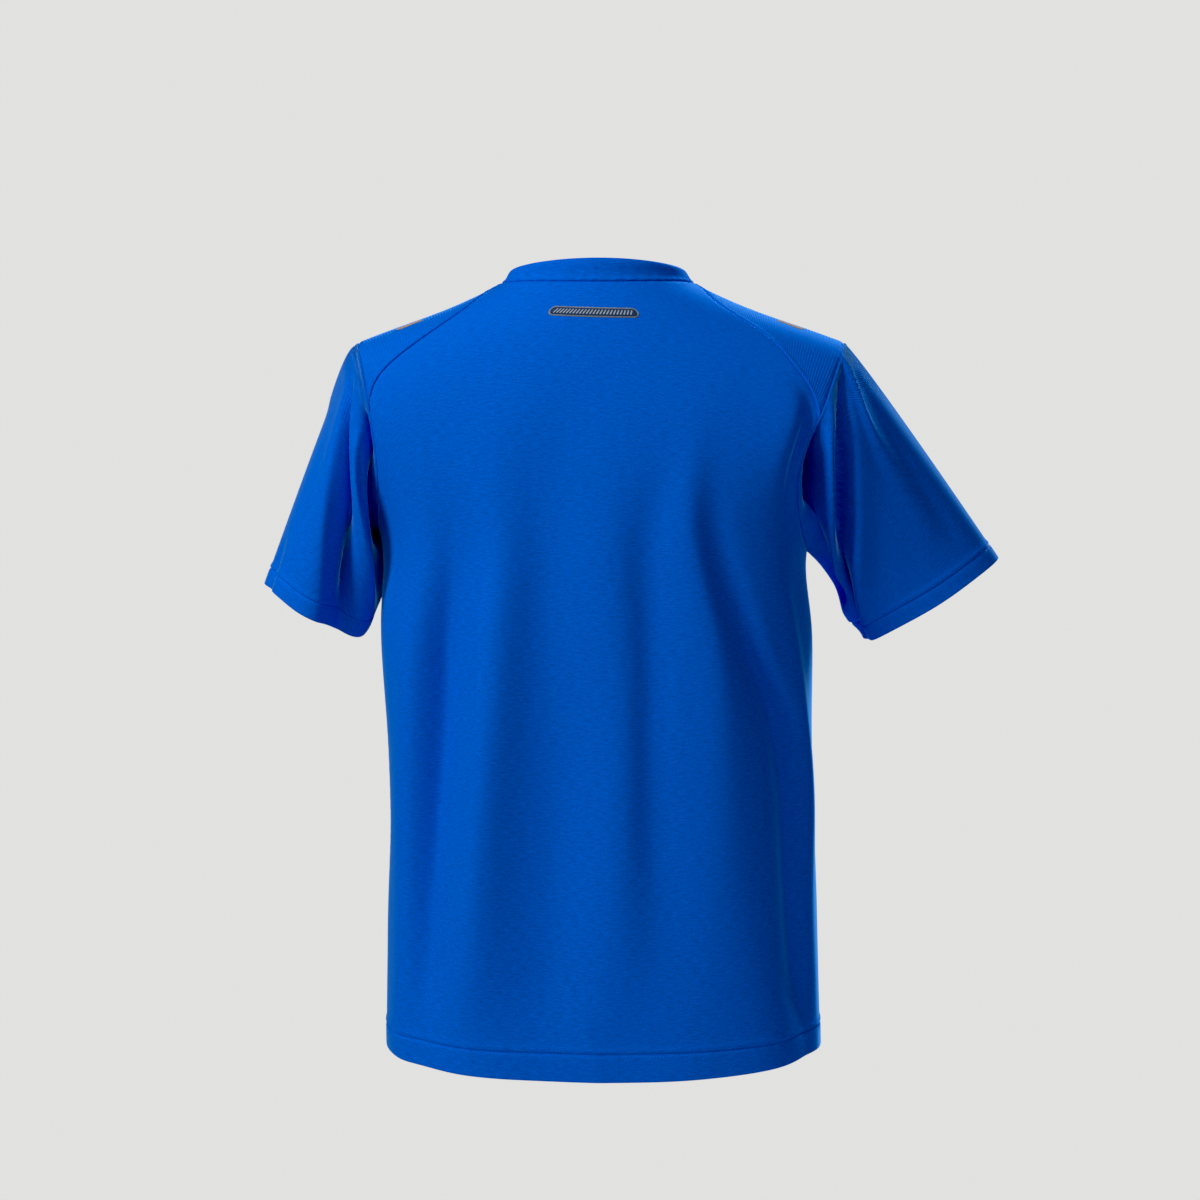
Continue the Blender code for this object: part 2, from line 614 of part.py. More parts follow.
def build():
    """Make every piece of the jersey."""
    for old in list(bpy.data.objects):
        bpy.data.objects.remove(old)
    add_body_panel("back_panel", "back", cloth_material("back_panel"))
    add_body_panel("front_panel", "front", cloth_material("front_panel"))
    for side in ("left", "right"):
        add_shoulder_panel(side, cloth_material("shoulder_panel_" + side))
        add_sleeve(side, cloth_material("sleeve_" + side))
    add_collar(cloth_material("collar"))
    add_transfer("neck_patch", math.radians(PATCH_TURN), PATCH_LEVEL, PATCH_WIDTH, PATCH_HEIGHT,
                 make_material("neck_patch_print", COLOURS["transfer"], 0.6))
    for side in ("left", "right"):
        name = "shoulder_bar_" + side
        add_transfer(name, on_side(side, math.radians(BAR_TURN)), BAR_LEVEL, BAR_WIDTH, BAR_HEIGHT,
                     make_material(name + "_print", COLOURS["bronze"], 0.45), upright=True)


build()
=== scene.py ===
import functools
import math
from collections import namedtuple

import bpy
import numpy as np
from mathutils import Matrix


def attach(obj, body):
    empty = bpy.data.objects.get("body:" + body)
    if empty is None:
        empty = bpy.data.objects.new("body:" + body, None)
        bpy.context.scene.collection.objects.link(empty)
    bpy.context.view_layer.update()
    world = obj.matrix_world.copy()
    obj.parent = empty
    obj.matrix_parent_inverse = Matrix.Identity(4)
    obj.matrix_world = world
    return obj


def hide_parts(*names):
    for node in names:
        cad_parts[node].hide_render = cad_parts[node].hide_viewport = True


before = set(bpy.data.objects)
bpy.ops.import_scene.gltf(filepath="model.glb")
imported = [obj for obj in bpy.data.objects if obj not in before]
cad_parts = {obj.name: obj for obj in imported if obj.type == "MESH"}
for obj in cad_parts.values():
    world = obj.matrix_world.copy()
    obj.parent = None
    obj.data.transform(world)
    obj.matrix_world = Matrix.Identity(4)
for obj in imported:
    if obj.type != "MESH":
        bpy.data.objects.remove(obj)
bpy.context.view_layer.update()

# The looks of a short-sleeved football jersey, hollow and filled out as when worn.
# The form is that of the CAD solids, repeated here on much finer grids: a closed surface
# body_point(turn, level) for the panels and the collar, and a loft sleeve_point(side, round, run)
# for each sleeve. Folds, seam furrows, hems and stitches are then laid over it.
# turn, round: radians; level: rows of SECTIONS; run: 0 at the armhole, 1 at the cuff.

# ---- cloth ----
CLOTH = 0.0009  # wall of one layer, the fibres' loft included
HEM_CLOTH = 0.0018  # turned-up hem
COLLAR_CLOTH = 0.0020  # folded collar band
TRANSFER = 0.0003  # heat-pressed patch and bars
PRINT = 0.00012  # raised print on the patch
HEM_DEPTH = 0.0225  # body hem, from the edge to its upper row of stitches
CUFF_DEPTH = 0.0215
STITCH_ROWS_APART = 0.0038

# ---- body sections, hem to collar ----
SECTIONS = (  # side x, z; back y, z; front y, z; shift in x; how square the corners are
    (0.202, -0.711, 0.124, -0.726, -0.120, -0.722, -0.0055, 0.20),  # hem
    (0.202, -0.640, 0.125, -0.646, -0.121, -0.643, -0.004, 0.19),   # hip
    (0.200, -0.480, 0.128, -0.485, -0.123, -0.483, -0.001, 0.17),   # waist
    (0.198, -0.330, 0.132, -0.330, -0.127, -0.330, 0.001, 0.16),    # lower chest
    (0.203, -0.228, 0.130, -0.235, -0.126, -0.245, 0.003, 0.15),    # armpit
    (0.262, -0.110, 0.1225, -0.160, -0.1195, -0.190, -0.002, 0.12),  # shoulder blades
    (0.231, -0.057, 0.109, -0.095, -0.109, -0.145, -0.003, 0.08),   # shoulder points
    (0.152, -0.028, 0.090, -0.040, -0.097, -0.112, -0.001, 0.04),   # middle of the shoulder line
    (0.090, 0.000, 0.068, -0.006, -0.084, -0.086, 0.000, 0.02),     # collar seam
    (0.081, 0.012, 0.061, 0.0165, -0.074, -0.067, 0.000, 0.02),     # top of the collar
)
ARMPIT, NECK, COLLAR_TOP = 4, 8, 9

# ---- seams ----
Armhole = namedtuple("Armhole", "back_turn front_turn top_level pit_level")
ARMHOLES = {"left": Armhole(41.0, 38.0, 6.05, 4.0), "right": Armhole(44.5, 38.0, 6.05, 3.8)}
MIDDLE_PIT_LEVEL = 3.6  # where the row of cloth through the armpits crosses the middle
FRONT_SHOULDER_SEAM = ((-12.0, 8.0), (-25.0, 7.4), (-32.0, 6.8), (-35.0, 6.1))
SHOULDER_SEAMS = {  # (turn, level) from the collar seam outwards, turns as on the left
    ("left", "back"): ((6.0, 8.0), (26.0, 7.4), (36.0, 6.8), (40.0, 6.1)),
    ("right", "back"): ((6.0, 8.0), (33.0, 7.4), (41.0, 6.55), (46.5, 5.75)),
    ("left", "front"): FRONT_SHOULDER_SEAM,
    ("right", "front"): FRONT_SHOULDER_SEAM,
}
SHOULDER_SEAM_ENDS = {"back": 86.0, "front": 74.0}

# ---- sleeves ----
Sleeve = namedtuple("Sleeve", "centre swing forward slope half_width half_depth")
SLEEVES = {  # centre of the cuff; swing, forward and slope in degrees
    "left": Sleeve((0.2680, -0.010, -0.3065), 20.0, 3.0, 29.0, 0.0525, 0.065),
    "right": Sleeve((-0.3145, -0.012, -0.2955), 34.0, 4.0, 31.0, 0.0745, 0.046),
}
CUFF_DROP_STEP = 30.0  # degrees
CUFF_DROPS = {  # how far the cuff's edge hangs below a flat oval, at each step round it
    "left": (0.0, -0.001, 0.0, 0.002, 0.001, -0.001, -0.020, -0.009, -0.002, 0.0, 0.0, 0.0, 0.0),
    "right": (0.0, 0.0, 0.001, 0.003, 0.003, 0.003, 0.002, 0.001, 0.0, 0.0, 0.0, 0.0, 0.0),
}
SLEEVE_FLOW = (  # degrees from the top, leave_out, leave_pull, arrive_out, arrive_pull
    (0.0, 1.2, 0.14, 0.0, 0.70),
    (45.0, 0.6, 0.20, 0.0, 0.70),
    (90.0, 0.2, 0.35, 0.1, 0.75),
    (135.0, 1.5, 0.25, 0.5, 0.80),
    (180.0, 4.0, 0.25, 0.4, 0.80),
)

# ---- folds of the body ----
# Each fold is a run of rows (along, turn, before, after, height). along is the drop below the origin
# in cm, or percent of a sleeve's run; turn is in degrees, and before and after are half widths
# towards smaller and larger turns; height is in mm, below 0 for a trough. A fold swells and dies
# over parts of its length, the FOLD_ENDS.
FOLD_UNIT = 0.001  # metres to a unit of height
BODY_FOLDS = {
    "back, ridge by the left side": ((17, 42, 7, 6, 3), (30, 38, 7, 5, 4), (39, 36, 8, 5, 4),
        (55, 33, 8, 6, 3), (100, 32, 8, 7, 3)),
    "back, left trough": ((13, 62, 5, 6, -3), (20, 57, 5.5, 8, -9), (25, 53.5, 6, 9.5, -15),
        (30, 50.5, 6, 10.5, -19), (39, 48, 6.5, 11, -21), (48, 45, 6.5, 11, -20),
        (57, 43, 7, 10.5, -17), (67, 42, 7.5, 9.5, -9), (100, 41, 8, 9, -4)),
    "back, left ridge": ((10, 71, 6, 8, 3), (20, 70, 6, 7, 7), (30, 67, 5.5, 7, 9),
        (39, 65, 5.5, 7, 11), (48, 62.5, 5.5, 7, 11), (57, 60.5, 6, 7.5, 10), (67, 58, 7, 9, 7),
        (100, 56, 8, 10, 3)),
    "back, middle hollow": ((10, 80, 8, 8, -3), (20, 79.5, 8, 9, -5), (39, 79.5, 9, 9, -8),
        (57, 79, 10, 9, -9), (70, 78, 10, 10, -8), (95, 77, 11, 10, -5)),
    "back, middle ridge": ((12, 92, 7, 6, 1), (30, 95, 7, 5, 3), (45, 95, 7, 5.5, 3.5),
        (75, 92, 8, 8, 1)),
    "back, trough right of the middle": ((13, 101, 5, 4, -1), (20, 101.5, 4.5, 4, -2),
        (30, 102, 4.2, 4.5, -4), (50, 101.5, 4.2, 6, -5), (66, 102.5, 6, 8, -2.5)),
    "back, slanting ridge": ((11, 105, 3, 4, 3), (19, 108, 4, 3.5, 6), (25, 113, 6, 4, 7),
        (30, 116, 7, 4, 7), (39, 119, 8, 7, 7), (48, 119, 9, 10, 6), (66, 118, 10, 12, 3)),
    "back, slanting trough": ((14, 112, 3, 4, -1), (20, 115, 3.5, 4, -4), (25, 120.5, 4.5, 4, -8),
        (30, 126, 5, 4.5, -11), (35, 131.5, 6, 4.5, -14), (39, 139.5, 9, 5, -16),
        (48, 149, 12.5, 6, -17), (57, 151, 14, 7, -17), (67, 152, 14, 8, -14), (100, 152, 14, 8, -10)),
    "back, flat beside the slanting trough": ((17, 134, 6, 6, 1), (25, 140, 8, 6, 3),
        (30, 146, 8, 6, 4), (39, 153, 6, 6, 5), (48, 162, 6, 6, 4), (60, 166, 6, 6, 2)),
    "right armhole, deep crease": ((8.5, 131, 2, 2, -1), (12, 132.5, 2.5, 2.4, -8),
        (15, 133, 3, 2.8, -13), (18, 135.5, 3.5, 4.5, -12), (22, 141.5, 4, 8, -5), (27, 148, 4, 8, -1)),
    "back, ridge beside that crease": ((9, 127, 5, 2.5, 0.5), (13, 128.5, 5, 2.5, 1.5),
        (17, 131, 6, 3.5, 2), (22, 142, 7, 6, 2), (34, 152, 7, 6, 1)),
    "back, faint crease at the hem": ((65, 84, 3, 2, 1), (69, 87.5, 2.5, 2, 1.6),
        (76, 90, 2.5, 2, 1.6)),
    "right side, fullness": ((18, 176, 14, 12, 1), (28, 178, 14, 14, 7), (42, 180, 14, 14, -1),
        (55, 180, 14, 14, 2), (72, 180, 14, 14, 1)),
    "left side, hollow": ((20, 6, 14, 14, 4), (29, 6, 14, 14, 6), (42, 6, 14, 14, -3),
        (62, 6, 14, 14, -1)),
    "front, right ridge": ((20, 208, 8, 8, 5), (45, 212, 9, 9, 8), (90, 214, 9, 9, 6)),
    "front, right trough": ((17, 230, 5, 6, -8), (35, 238, 8, 6, -16), (80, 246, 11, 8, -9)),
    "front, middle ridge": ((22, 260, 7, 6, 3), (45, 262, 8, 7, 6), (85, 264, 10, 9, 4)),
    "front, left trough": ((18, 293, 7, 5, -7), (36, 286, 8, 5.5, -13), (80, 280, 10, 8, -6)),
    "front, left ridge": ((24, 306, 6, 5, 4), (45, 302, 7, 6.5, 8), (90, 299, 8, 8, 5)),
    "front, trough by the left side": ((18, 318, 5, 6, -6), (36, 322, 6, 7, -13), (90, 326, 8, 8, -8)),
}
BODY_FOLD_ENDS = (0.28, 0.30)
HEM_CALM = 0.6  # the stitched hem holds the folds down by this much
HEM_CALM_FROM = 0.63  # below the origin
HEM_CALM_OVER = 0.08

# ---- folds of the sleeves ----
LEFT_SLEEVE_FOLDS = {
    "back, wide trough": ((8, 44, 5, 5, -1), (17, 51, 5.5, 6, -6), (26, 60, 5.5, 5, -12),
        (36, 79, 8, 5.5, -22), (46, 98, 13, 6, -30), (58, 112, 17, 7, -34), (70, 121, 20, 8, -29),
        (85, 129, 23, 9, -18), (100, 134, 26, 10, -8), (130, 138, 28, 10, -4)),
    "back, blade": ((5, 68, 5, 5, 2), (30, 97, 6, 6, 7), (45, 122, 8, 8, 9), (60, 140, 9, 12, 9),
        (80, 152, 11, 13, 7), (130, 158, 11, 13, 4)),
    "armpit side, fullness": ((12, 186, 16, 16, 1), (30, 184, 16, 16, 4), (50, 182, 18, 18, 6),
        (65, 180, 18, 18, 5), (90, 178, 18, 18, 2)),
    "back, edge of the outer face": ((12, 44, 8, 3, 1), (32, 60, 13, 4, 4), (49, 73, 17, 5, 7),
        (72, 89, 20, 6, 8), (92, 99, 22, 7, 6), (130, 104, 22, 8, 4)),
    "outside, fullness below the shoulder": ((2, 0, 30, 34, 1), (16, 0, 30, 34, 4), (42, 0, 30, 34, 1)),
    "outside, kink at the cuff": ((72, 30, 9, 8, -1), (100, 34, 8, 8, -4), (130, 36, 8, 8, -4)),
    "front, trough": ((5, 262, 9, 9, -4), (45, 256, 10, 10, -11), (130, 246, 12, 12, -8)),
    "front, ridge": ((10, 285, 9, 9, 2), (55, 280, 10, 10, 6), (130, 274, 12, 12, 4)),
}
RIGHT_SLEEVE_FOLDS = {
    "back, deep valley": ((-2, 43, 3, 4, -3), (6, 50, 4, 6, -10), (14, 63, 5, 8, -27),
        (21, 75, 6, 9, -24), (36, 98, 6, 8, -27), (48, 116, 7, 9, -27), (60, 137, 9, 12, -22),
        (75, 156, 10, 20, -14), (110, 174, 16, 40, -7)),
    "back, edge of the outer face": ((12, 50, 12, 5, 0.5), (22, 63, 12, 5, 1), (34, 84, 14, 5, 3),
        (46, 101, 14, 5, 5), (60, 121, 14, 6, 6), (75, 141, 14, 6, 4), (115, 156, 14, 6, 2)),
    "back, blade by the armpit": ((-5, 70, 5, 5, 2), (10, 81, 6, 4, 6), (20, 94, 6, 4, 10),
        (34, 112, 6, 4.5, 11), (45, 131, 7, 7, 8), (62, 155, 8, 8, 3)),
    "back, valley against the body": ((-10, 86, 6, 9, -6), (4, 94, 5, 12, -24), (12, 102, 6, 16, -46),
        (21, 111, 8, 24, -56), (30, 130, 12, 28, -46), (45, 158, 17, 28, -28), (75, 182, 16, 22, -6)),
    "back, bright crease": ((-6, 35, 2.4, 2, 3), (6, 42, 2.6, 2, 5.5), (20, 52, 3, 2.2, 5.5),
        (31, 60, 4.5, 3, 4.5), (50, 65, 9, 7, 3), (85, 69, 12, 10, 1)),
    "underarm, hollow": ((3, 135, 12, 22, -12), (12, 145, 14, 26, -26), (24, 156, 16, 28, -28),
        (38, 172, 18, 28, -16), (70, 190, 20, 24, -2)),
    "back, hollow outside the crease": ((2, 28, 5, 5, -0.5), (25, 42, 7, 5, -1.5), (60, 50, 8, 8, -2),
        (90, 52, 9, 9, -1)),
    "front, trough": ((5, 270, 8, 8, -5), (45, 252, 9, 9, -13), (125, 234, 12, 12, -8)),
    "front, ridge": ((8, 292, 8, 8, 3), (50, 278, 10, 9, 6), (125, 262, 12, 12, 3)),
}
SLEEVE_FOLDS = {"left": LEFT_SLEEVE_FOLDS, "right": RIGHT_SLEEVE_FOLDS}
# Folds that run round a sleeve: along is in degrees, and the next three are percent of the run
LEFT_SLEEVE_GATHERS = {
    "valley along the armhole": ((60, 19, 5, 4, -1), (74, 16.5, 6, 5, -7), (87, 14, 7, 6, -22),
        (100, 12, 7, 6, -35), (126, 12, 8, 9, -46), (155, 15, 10, 10, -40), (180, 20, 9, 10, -18),
        (205, 20, 8, 9, -4)),
}
SLEEVE_GATHERS = {"left": LEFT_SLEEVE_GATHERS, "right": {}}
SLEEVE_FOLD_ENDS = (0.22, 0.22)
SEWN_RUN = 0.045  # the armhole seam holds the sleeve's folds flat over this run

# Slow unevenness that all hanging cloth has: height, waves a metre across and down, and start
BODY_WAVES = ((0.0006, 7.3, 3.1, 0.4), (0.0004, -4.7, 4.3, 2.1), (0.0003, 11.9, 2.1, 4.0))
WAVES_FROM = 0.06  # how far below the origin the waves start
WAVES_OVER = 0.08

# ---- seams and edges, as they lie in the cloth ----
# furrow: depth of the groove along the seam; half: its half width; roll: the seam allowance's bulge
# beside it, at distance away; pucker: ripples along it
Seam = namedtuple("Seam", "furrow half roll away pucker")
SEAMS = {
    "side": Seam(0.0004, 0.0012, 0.00015, 0.0040, 0.00012),
    "armhole, body side": Seam(0.0010, 0.0018, 0.0002, 0.0060, 0.00012),
    "armhole, sleeve side": Seam(0.0011, 0.0007, 0.0005, 0.0018, 0.00012),
    "shoulder, body side": Seam(0.0010, 0.0018, 0.0002, 0.0060, 0.00010),
    "shoulder, panel side": Seam(0.0010, 0.0007, 0.0007, 0.0017, 0.00010),
    "neck, body side": Seam(0.0007, 0.0014, 0.0003, 0.0050, 0.00018),
    "neck, collar side": Seam(0.0007, 0.0007, 0.0004, 0.0020, 0.00018),
}
ROLL_HALF = 0.6  # half width of the bulge, as a part of its distance from the seam
ROLL_START = 0.0008  # distance from the seam where the bulge is whole
PUCKER_START = 0.0015  # the same for the ripples
PUCKER_REACH = 0.006  # half width of the ripples
PUCKER_LENGTH = 0.011  # from one ripple to the next
PUCKER_DRIFT = (2.0, 61.0)  # how far the ripples stray from even spacing, and how often
# Distances of a grid's lines from a seam, and from a hem's edge
EDGE_STEPS = (0.0, 0.0006, 0.0013, 0.0021, 0.0031, 0.0044, 0.0060, 0.0080, 0.0105)
HEM_STEPS = (0.0, 0.0004, 0.0010, 0.0020, 0.0050, 0.0090, 0.0130, 0.0165, 0.0177, 0.0187, 0.0197,
             0.0209, 0.0217, 0.0225, 0.0233, 0.0245, 0.0270, 0.0300)
GROOVE = 0.0011  # how deep the two rows of stitches pull the hem in
GROOVE_HALF = 0.0017
RIDGE = 0.0006  # the ridge that the stitches push up above them
RIDGE_ABOVE = 0.0018
FAR_FROM_HEM = 1.0  # stands for the height of any row above the hem
HEM_ROLL = 0.0009  # radius of the folded edge
HEM_FADE = 0.0025  # height over which the turned-up cloth ends
HEM_LIFT = 0.35  # part of the extra thickness that lies outside
THIN_EDGE = 0.05  # square of the part of its thickness that a rounded edge ends with
COLLAR_STEPS = (0.0, 0.0006, 0.0013, 0.0022, 0.0035, 0.0055, 0.0080, 0.0110, 0.0140, 0.0165,
                0.0185, 0.0198, 0.0208, 0.0215, 0.0220)
COLLAR_SWELLS = ((-0.0012, 0.30, 0.18), (0.0014, 0.80, 0.17))  # height, middle and half width
COLLAR_UNEVEN = (0.3, 0.4, 0.6)  # swell left at the sides, and size and start of its waves round
COLLAR_ROLL = 0.0010
THIN_COLLAR_EDGE = 0.04

# ---- grids ----
BODY_STEP = 0.0036  # up the body
HOLE_COUNT = 64  # rows up the armhole
SEAM_COUNT = 52  # rows along a shoulder seam
BACK_COUNT = 150  # columns
FRONT_COUNT = 110
SLEEVE_ROUND = 200  # columns round a sleeve
SLEEVE_STEP = 0.0034  # down the sleeve
SHOULDER_COUNT = 92  # rows over the shoulder
COLLAR_COUNT = 320
LEVEL_PROBES = 401  # points that measure how levels climb the body
RUN_PROBES = 25  # points that measure a sleeve's length
CHEST_WIDTH = 0.53  # about the lengths that the grids span, in metres
SHOULDER_SEAM_LENGTH = 0.17
SHOULDER_REACH = 0.16
LEVEL_HEM = 0.05  # up to this height the rows run level round the hem
BAND = 14  # lines of a grid beside an edge that its seam reaches
STEP = 1e-3  # of turn, level or run, to either side for a normal
FOLD_STEP = 4e-3  # the same over folded cloth

# ---- stitches ----
STITCH_PITCH = 0.0030
STITCH_LENGTH = 0.0023
STITCH_RADIUS = 0.00022
STITCH_START = 0.3  # of a pitch, before the first
STITCH_SIDES = 6
STITCH_AHEAD = 1e-4  # to find which way the line runs
# Rings of a thread: part of its length, and its radius and rise in radii
STITCH_STATIONS = ((0.0, 0.35, -0.6), (0.2, 0.9, 0.2), (0.8, 0.9, 0.2), (1.0, 0.35, -0.6))

# ---- transfers ----
# Places are (turn, level), sizes (width, height)
PATCH_PLACE = (math.radians(88.0), 7.07)
PATCH_TILT = -1.7  # degrees: its right end hangs a little lower
PATCH_SIZE = (0.082, 0.0108)
PATCH_BORDER = 0.0014
STROKE_COUNT = 24
STROKE_PITCH = 0.0030
STROKE_SIZE = (0.0056, 0.0012)
STROKE_LEAN = 28.0
FIELD_SINK = 0.5  # of the print's thickness, that the dark field lies in its border
STROKE_RISE = 0.4  # of the print's thickness, that the strokes start above the border
PATCH_COLUMNS = 90  # of each plate's grid
BAR_COLUMNS = 60
STROKE_COLUMNS = 12
PLATE_ROWS = 7
PLATE_TIP = 0.03  # least reach up at a bar's round ends, as a part of its height
BAR_TURN = 18.5
BAR_LEVEL = 6.58
BAR_SIZE = (0.026, 0.009)

# ---- colours ----
BLUE = (0.004, 0.120, 0.62)
SHEEN_BLUE = (0.13, 0.47, 1.0)
SLEEVE_SHEEN = (0.25, 0.62, 1.0)
PATCH_DARK = (0.030, 0.052, 0.115)
PATCH_GREY = (0.20, 0.24, 0.29)
BRONZE = (0.36, 0.26, 0.175)
THREAD_BLUE = (0.01, 0.20, 0.85)
MARKS_LIGHTER = 1.6  # the strokes, against the patch's grey border
PALE = (0.80, 0.80, 0.79)

# ---- knit and print ----
# Noises: cells a metre across and up, detail, roughness. Bumps: metres, strength.
SLUB = ((130.0, 720.0), 3.0, 0.6)
LOOPS = ((1100.0, 900.0), 1.0, 0.4)
PRINT_GRAIN = ((500.0, 500.0), 2.0, 0.5)
SLUB_BUMP = (0.00012, 0.7)
LOOP_BUMP = (0.00010, 0.6)
PRINT_BUMP = (0.00005, 0.5)
TWIST = 1800.0  # cells a metre
# Ramps: where a noise gives the darkest and the lightest tone, and how light those are
KNIT_RAMP, KNIT_TONES = (0.30, 0.70), (0.66, 1.30)
PRINT_RAMP, PRINT_TONES = (0.35, 0.65), (0.85, 1.15)
THREAD_RAMP, THREAD_TONES = (0.3, 0.7), (0.8, 1.1)
KNIT_ROUGHNESS = (0.50, 0.62)  # over the same range of noise as its tones
SHEEN, SHEEN_ROUGHNESS = 0.8, 0.3
RIB_PITCH = 0.0029
SHOULDER_RIB_DEPTH = 0.00020
SLEEVE_RIB_DEPTH = 0.0003
SLEEVE_RIB_REACH = 0.09  # down the sleeve
RIB_FADE = 0.3  # part of the reach where they are still whole
RIB_TOP = (0.14, 0.20)  # distance round from the underarm where they start, and are whole
WAVE_SCALE = math.pi / 10.0  # makes a wave texture's bands 1 apart


# ---- curves ----
def smooth(x):
    """0 below 0, 1 above 1, and a smooth step between."""
    x = np.clip(x, 0.0, 1.0)
    return x * x * (3.0 - 2.0 * x)


def bell(offset, width):
    """A bell curve: 1 at no offset, and 1 / e at the width."""
    return np.exp(-((offset / width) ** 2))


def spline(knots, table, at):
    """Each column of a table, along a natural cubic through its rows at rising knots."""
    rows = np.asarray(table, dtype=float)
    knots = np.asarray(knots, dtype=float)
    gaps = np.diff(knots)
    count = len(rows)
    bends = np.eye(count)
    turns = np.zeros_like(rows)
    for i in range(1, count - 1):
        bends[i, i - 1:i + 2] = (gaps[i - 1], 2.0 * (gaps[i - 1] + gaps[i]), gaps[i])
        turns[i] = 6.0 * ((rows[i + 1] - rows[i]) / gaps[i] - (rows[i] - rows[i - 1]) / gaps[i - 1])
    bend = np.linalg.solve(bends, turns)
    low = np.clip(np.searchsorted(knots, at, side="right") - 1, 0, count - 2)
    gap = gaps[low]
    f = ((at - knots[low]) / gap)[..., None]
    g = 1.0 - f
    square = (gap ** 2)[..., None] / 6.0
    return (rows[low] * g + rows[low + 1] * f
            + square * (bend[low] * (g ** 3 - g) + bend[low + 1] * (f ** 3 - f)))


def unit(vectors):
    """The vectors at length 1."""
    return vectors / np.maximum(np.linalg.norm(vectors, axis=-1, keepdims=True), 1e-12)


def sign(name):
    """+1 for the left and the back, and -1 for the right and the front."""
    return 1.0 if name in ("left", "back") else -1.0


def on_side(side, turn):
    """A turn on the left side, moved to the wanted side; a turn on the right, moved back again."""
    return turn if side == "left" else math.pi - turn


# ---- folds ----
def fold_height(folds, along, turn, ends):
    """How far a table of folds lifts the cloth, at along and turn in the table's units."""
    rise, fade = ends
    total = np.zeros(np.shape(turn))
    for rows in folds.values():
        rows = np.array(rows)
        knots = rows[:, 0]
        at = np.clip(along, knots[0], knots[-1])
        centre, before, after, height = np.moveaxis(spline(knots, rows[:, 1:], at), -1, 0)
        run = (along - knots[0]) / (knots[-1] - knots[0])
        swell = smooth(run / rise) * smooth((1.0 - run) / fade)
        offset = (turn - centre + 180.0) % 360.0 - 180.0
        width = np.where(offset < 0.0, before, after)
        total += FOLD_UNIT * height * swell * bell(offset, width)
    return total


def body_fold_height(turn, base):
    """How far the folds and slow waves lift the cloth off the smooth body."""
    x, drop = base[..., 0], -base[..., 2]
    folds = fold_height(BODY_FOLDS, 100.0 * drop, np.degrees(turn) % 360.0, BODY_FOLD_ENDS)
    folds *= 1.0 - HEM_CALM * smooth((drop - HEM_CALM_FROM) / HEM_CALM_OVER)
    waves = np.zeros(np.shape(turn))
    for height, across, down, start in BODY_WAVES:
        waves += height * np.sin(2.0 * math.pi * (across * x - down * drop) + start)
    return folds + waves * smooth((drop - WAVES_FROM) / WAVES_OVER)


# ---- the body's surface ----
def section(level):
    """The columns of SECTIONS at a level: curved up to the collar seam, straight up the collar."""
    body = spline(np.arange(NECK + 1), SECTIONS[:NECK + 1], np.minimum(level, NECK))
    collar = np.asarray(SECTIONS[COLLAR_TOP]) - np.asarray(SECTIONS[NECK])
    return body + collar * np.clip(level - NECK, 0.0, None)[..., None]


def smooth_body(turn, level):
    """A point of the body before its folds."""
    side_x, side_z, back_y, back_z, front_y, front_z, shift_x, corner = np.moveaxis(
        section(level), -1, 0)
    across, along = np.cos(turn), np.sin(turn)
    behind = along >= 0.0
    reach_y = np.where(behind, back_y, -front_y)
    middle_z = np.where(behind, back_z, front_z)
    x = shift_x + side_x * across * (1.0 + corner * along ** 2)
    y = reach_y * along * (1.0 + corner * across ** 2)
    z = side_z + (middle_z - side_z) * along ** 2
    return np.stack([x, y, z], axis=-1)


def surface_normal(point, a, b, step):
    """The normal of point(a, b), by central differences."""
    da = point(a + step, b) - point(a - step, b)
    db = point(a, b + step) - point(a, b - step)
    return unit(np.cross(da, db))


def body_point(turn, level):
    """A point of the body, folds included."""
    turn, level = np.broadcast_arrays(np.asarray(turn, float), np.asarray(level, float))
    base = smooth_body(turn, level)
    normal = surface_normal(smooth_body, turn, level, STEP)
    return base + normal * body_fold_height(turn, base)[..., None]


def body_normal(turn, level):
    """Outward normal of the folded body."""
    return surface_normal(body_point, turn, level, FOLD_STEP)


# ---- seam lines ----
def armhole(side, round_):
    """Turn and level at an angle round the armhole: 0 at the shoulder point, then the back."""
    hole = ARMHOLES[side]
    reach = np.radians(np.where(np.sin(round_) >= 0.0, hole.back_turn, hole.front_turn))
    middle = (hole.top_level + hole.pit_level) / 2.0
    half = (hole.top_level - hole.pit_level) / 2.0
    return on_side(side, reach * np.sin(round_)), middle + half * np.cos(round_)


def shoulder_seam(side, face, f):
    """Turn and level along a shoulder seam, from the collar seam (f = 0) to the armhole (f = 1)."""
    end = sign(face) * math.radians(SHOULDER_SEAM_ENDS[face])
    end_turn, end_level = armhole(side, np.asarray(end))
    table = [(math.radians(turn), level) for turn, level in SHOULDER_SEAMS[side, face]]
    table.append((float(on_side(side, end_turn)), float(end_level)))
    line = spline(np.arange(len(table)), table, f * (len(table) - 1))
    return on_side(side, line[..., 0]), line[..., 1]


# ---- the sleeves' surface ----
def sleeve_axes(side):
    """Down the arm, across the cuff towards the outside, and towards the back."""
    sleeve, out = SLEEVES[side], sign(side)
    swing, forward = math.radians(sleeve.swing), math.radians(sleeve.forward)
    slope = math.radians(sleeve.slope)
    down = unit(np.array([out * math.sin(swing), -math.sin(forward), -math.cos(swing)]))
    across = np.array([out * math.cos(slope), 0.0, math.sin(slope)])
    return down, across, unit(np.cross(across, down) * out)


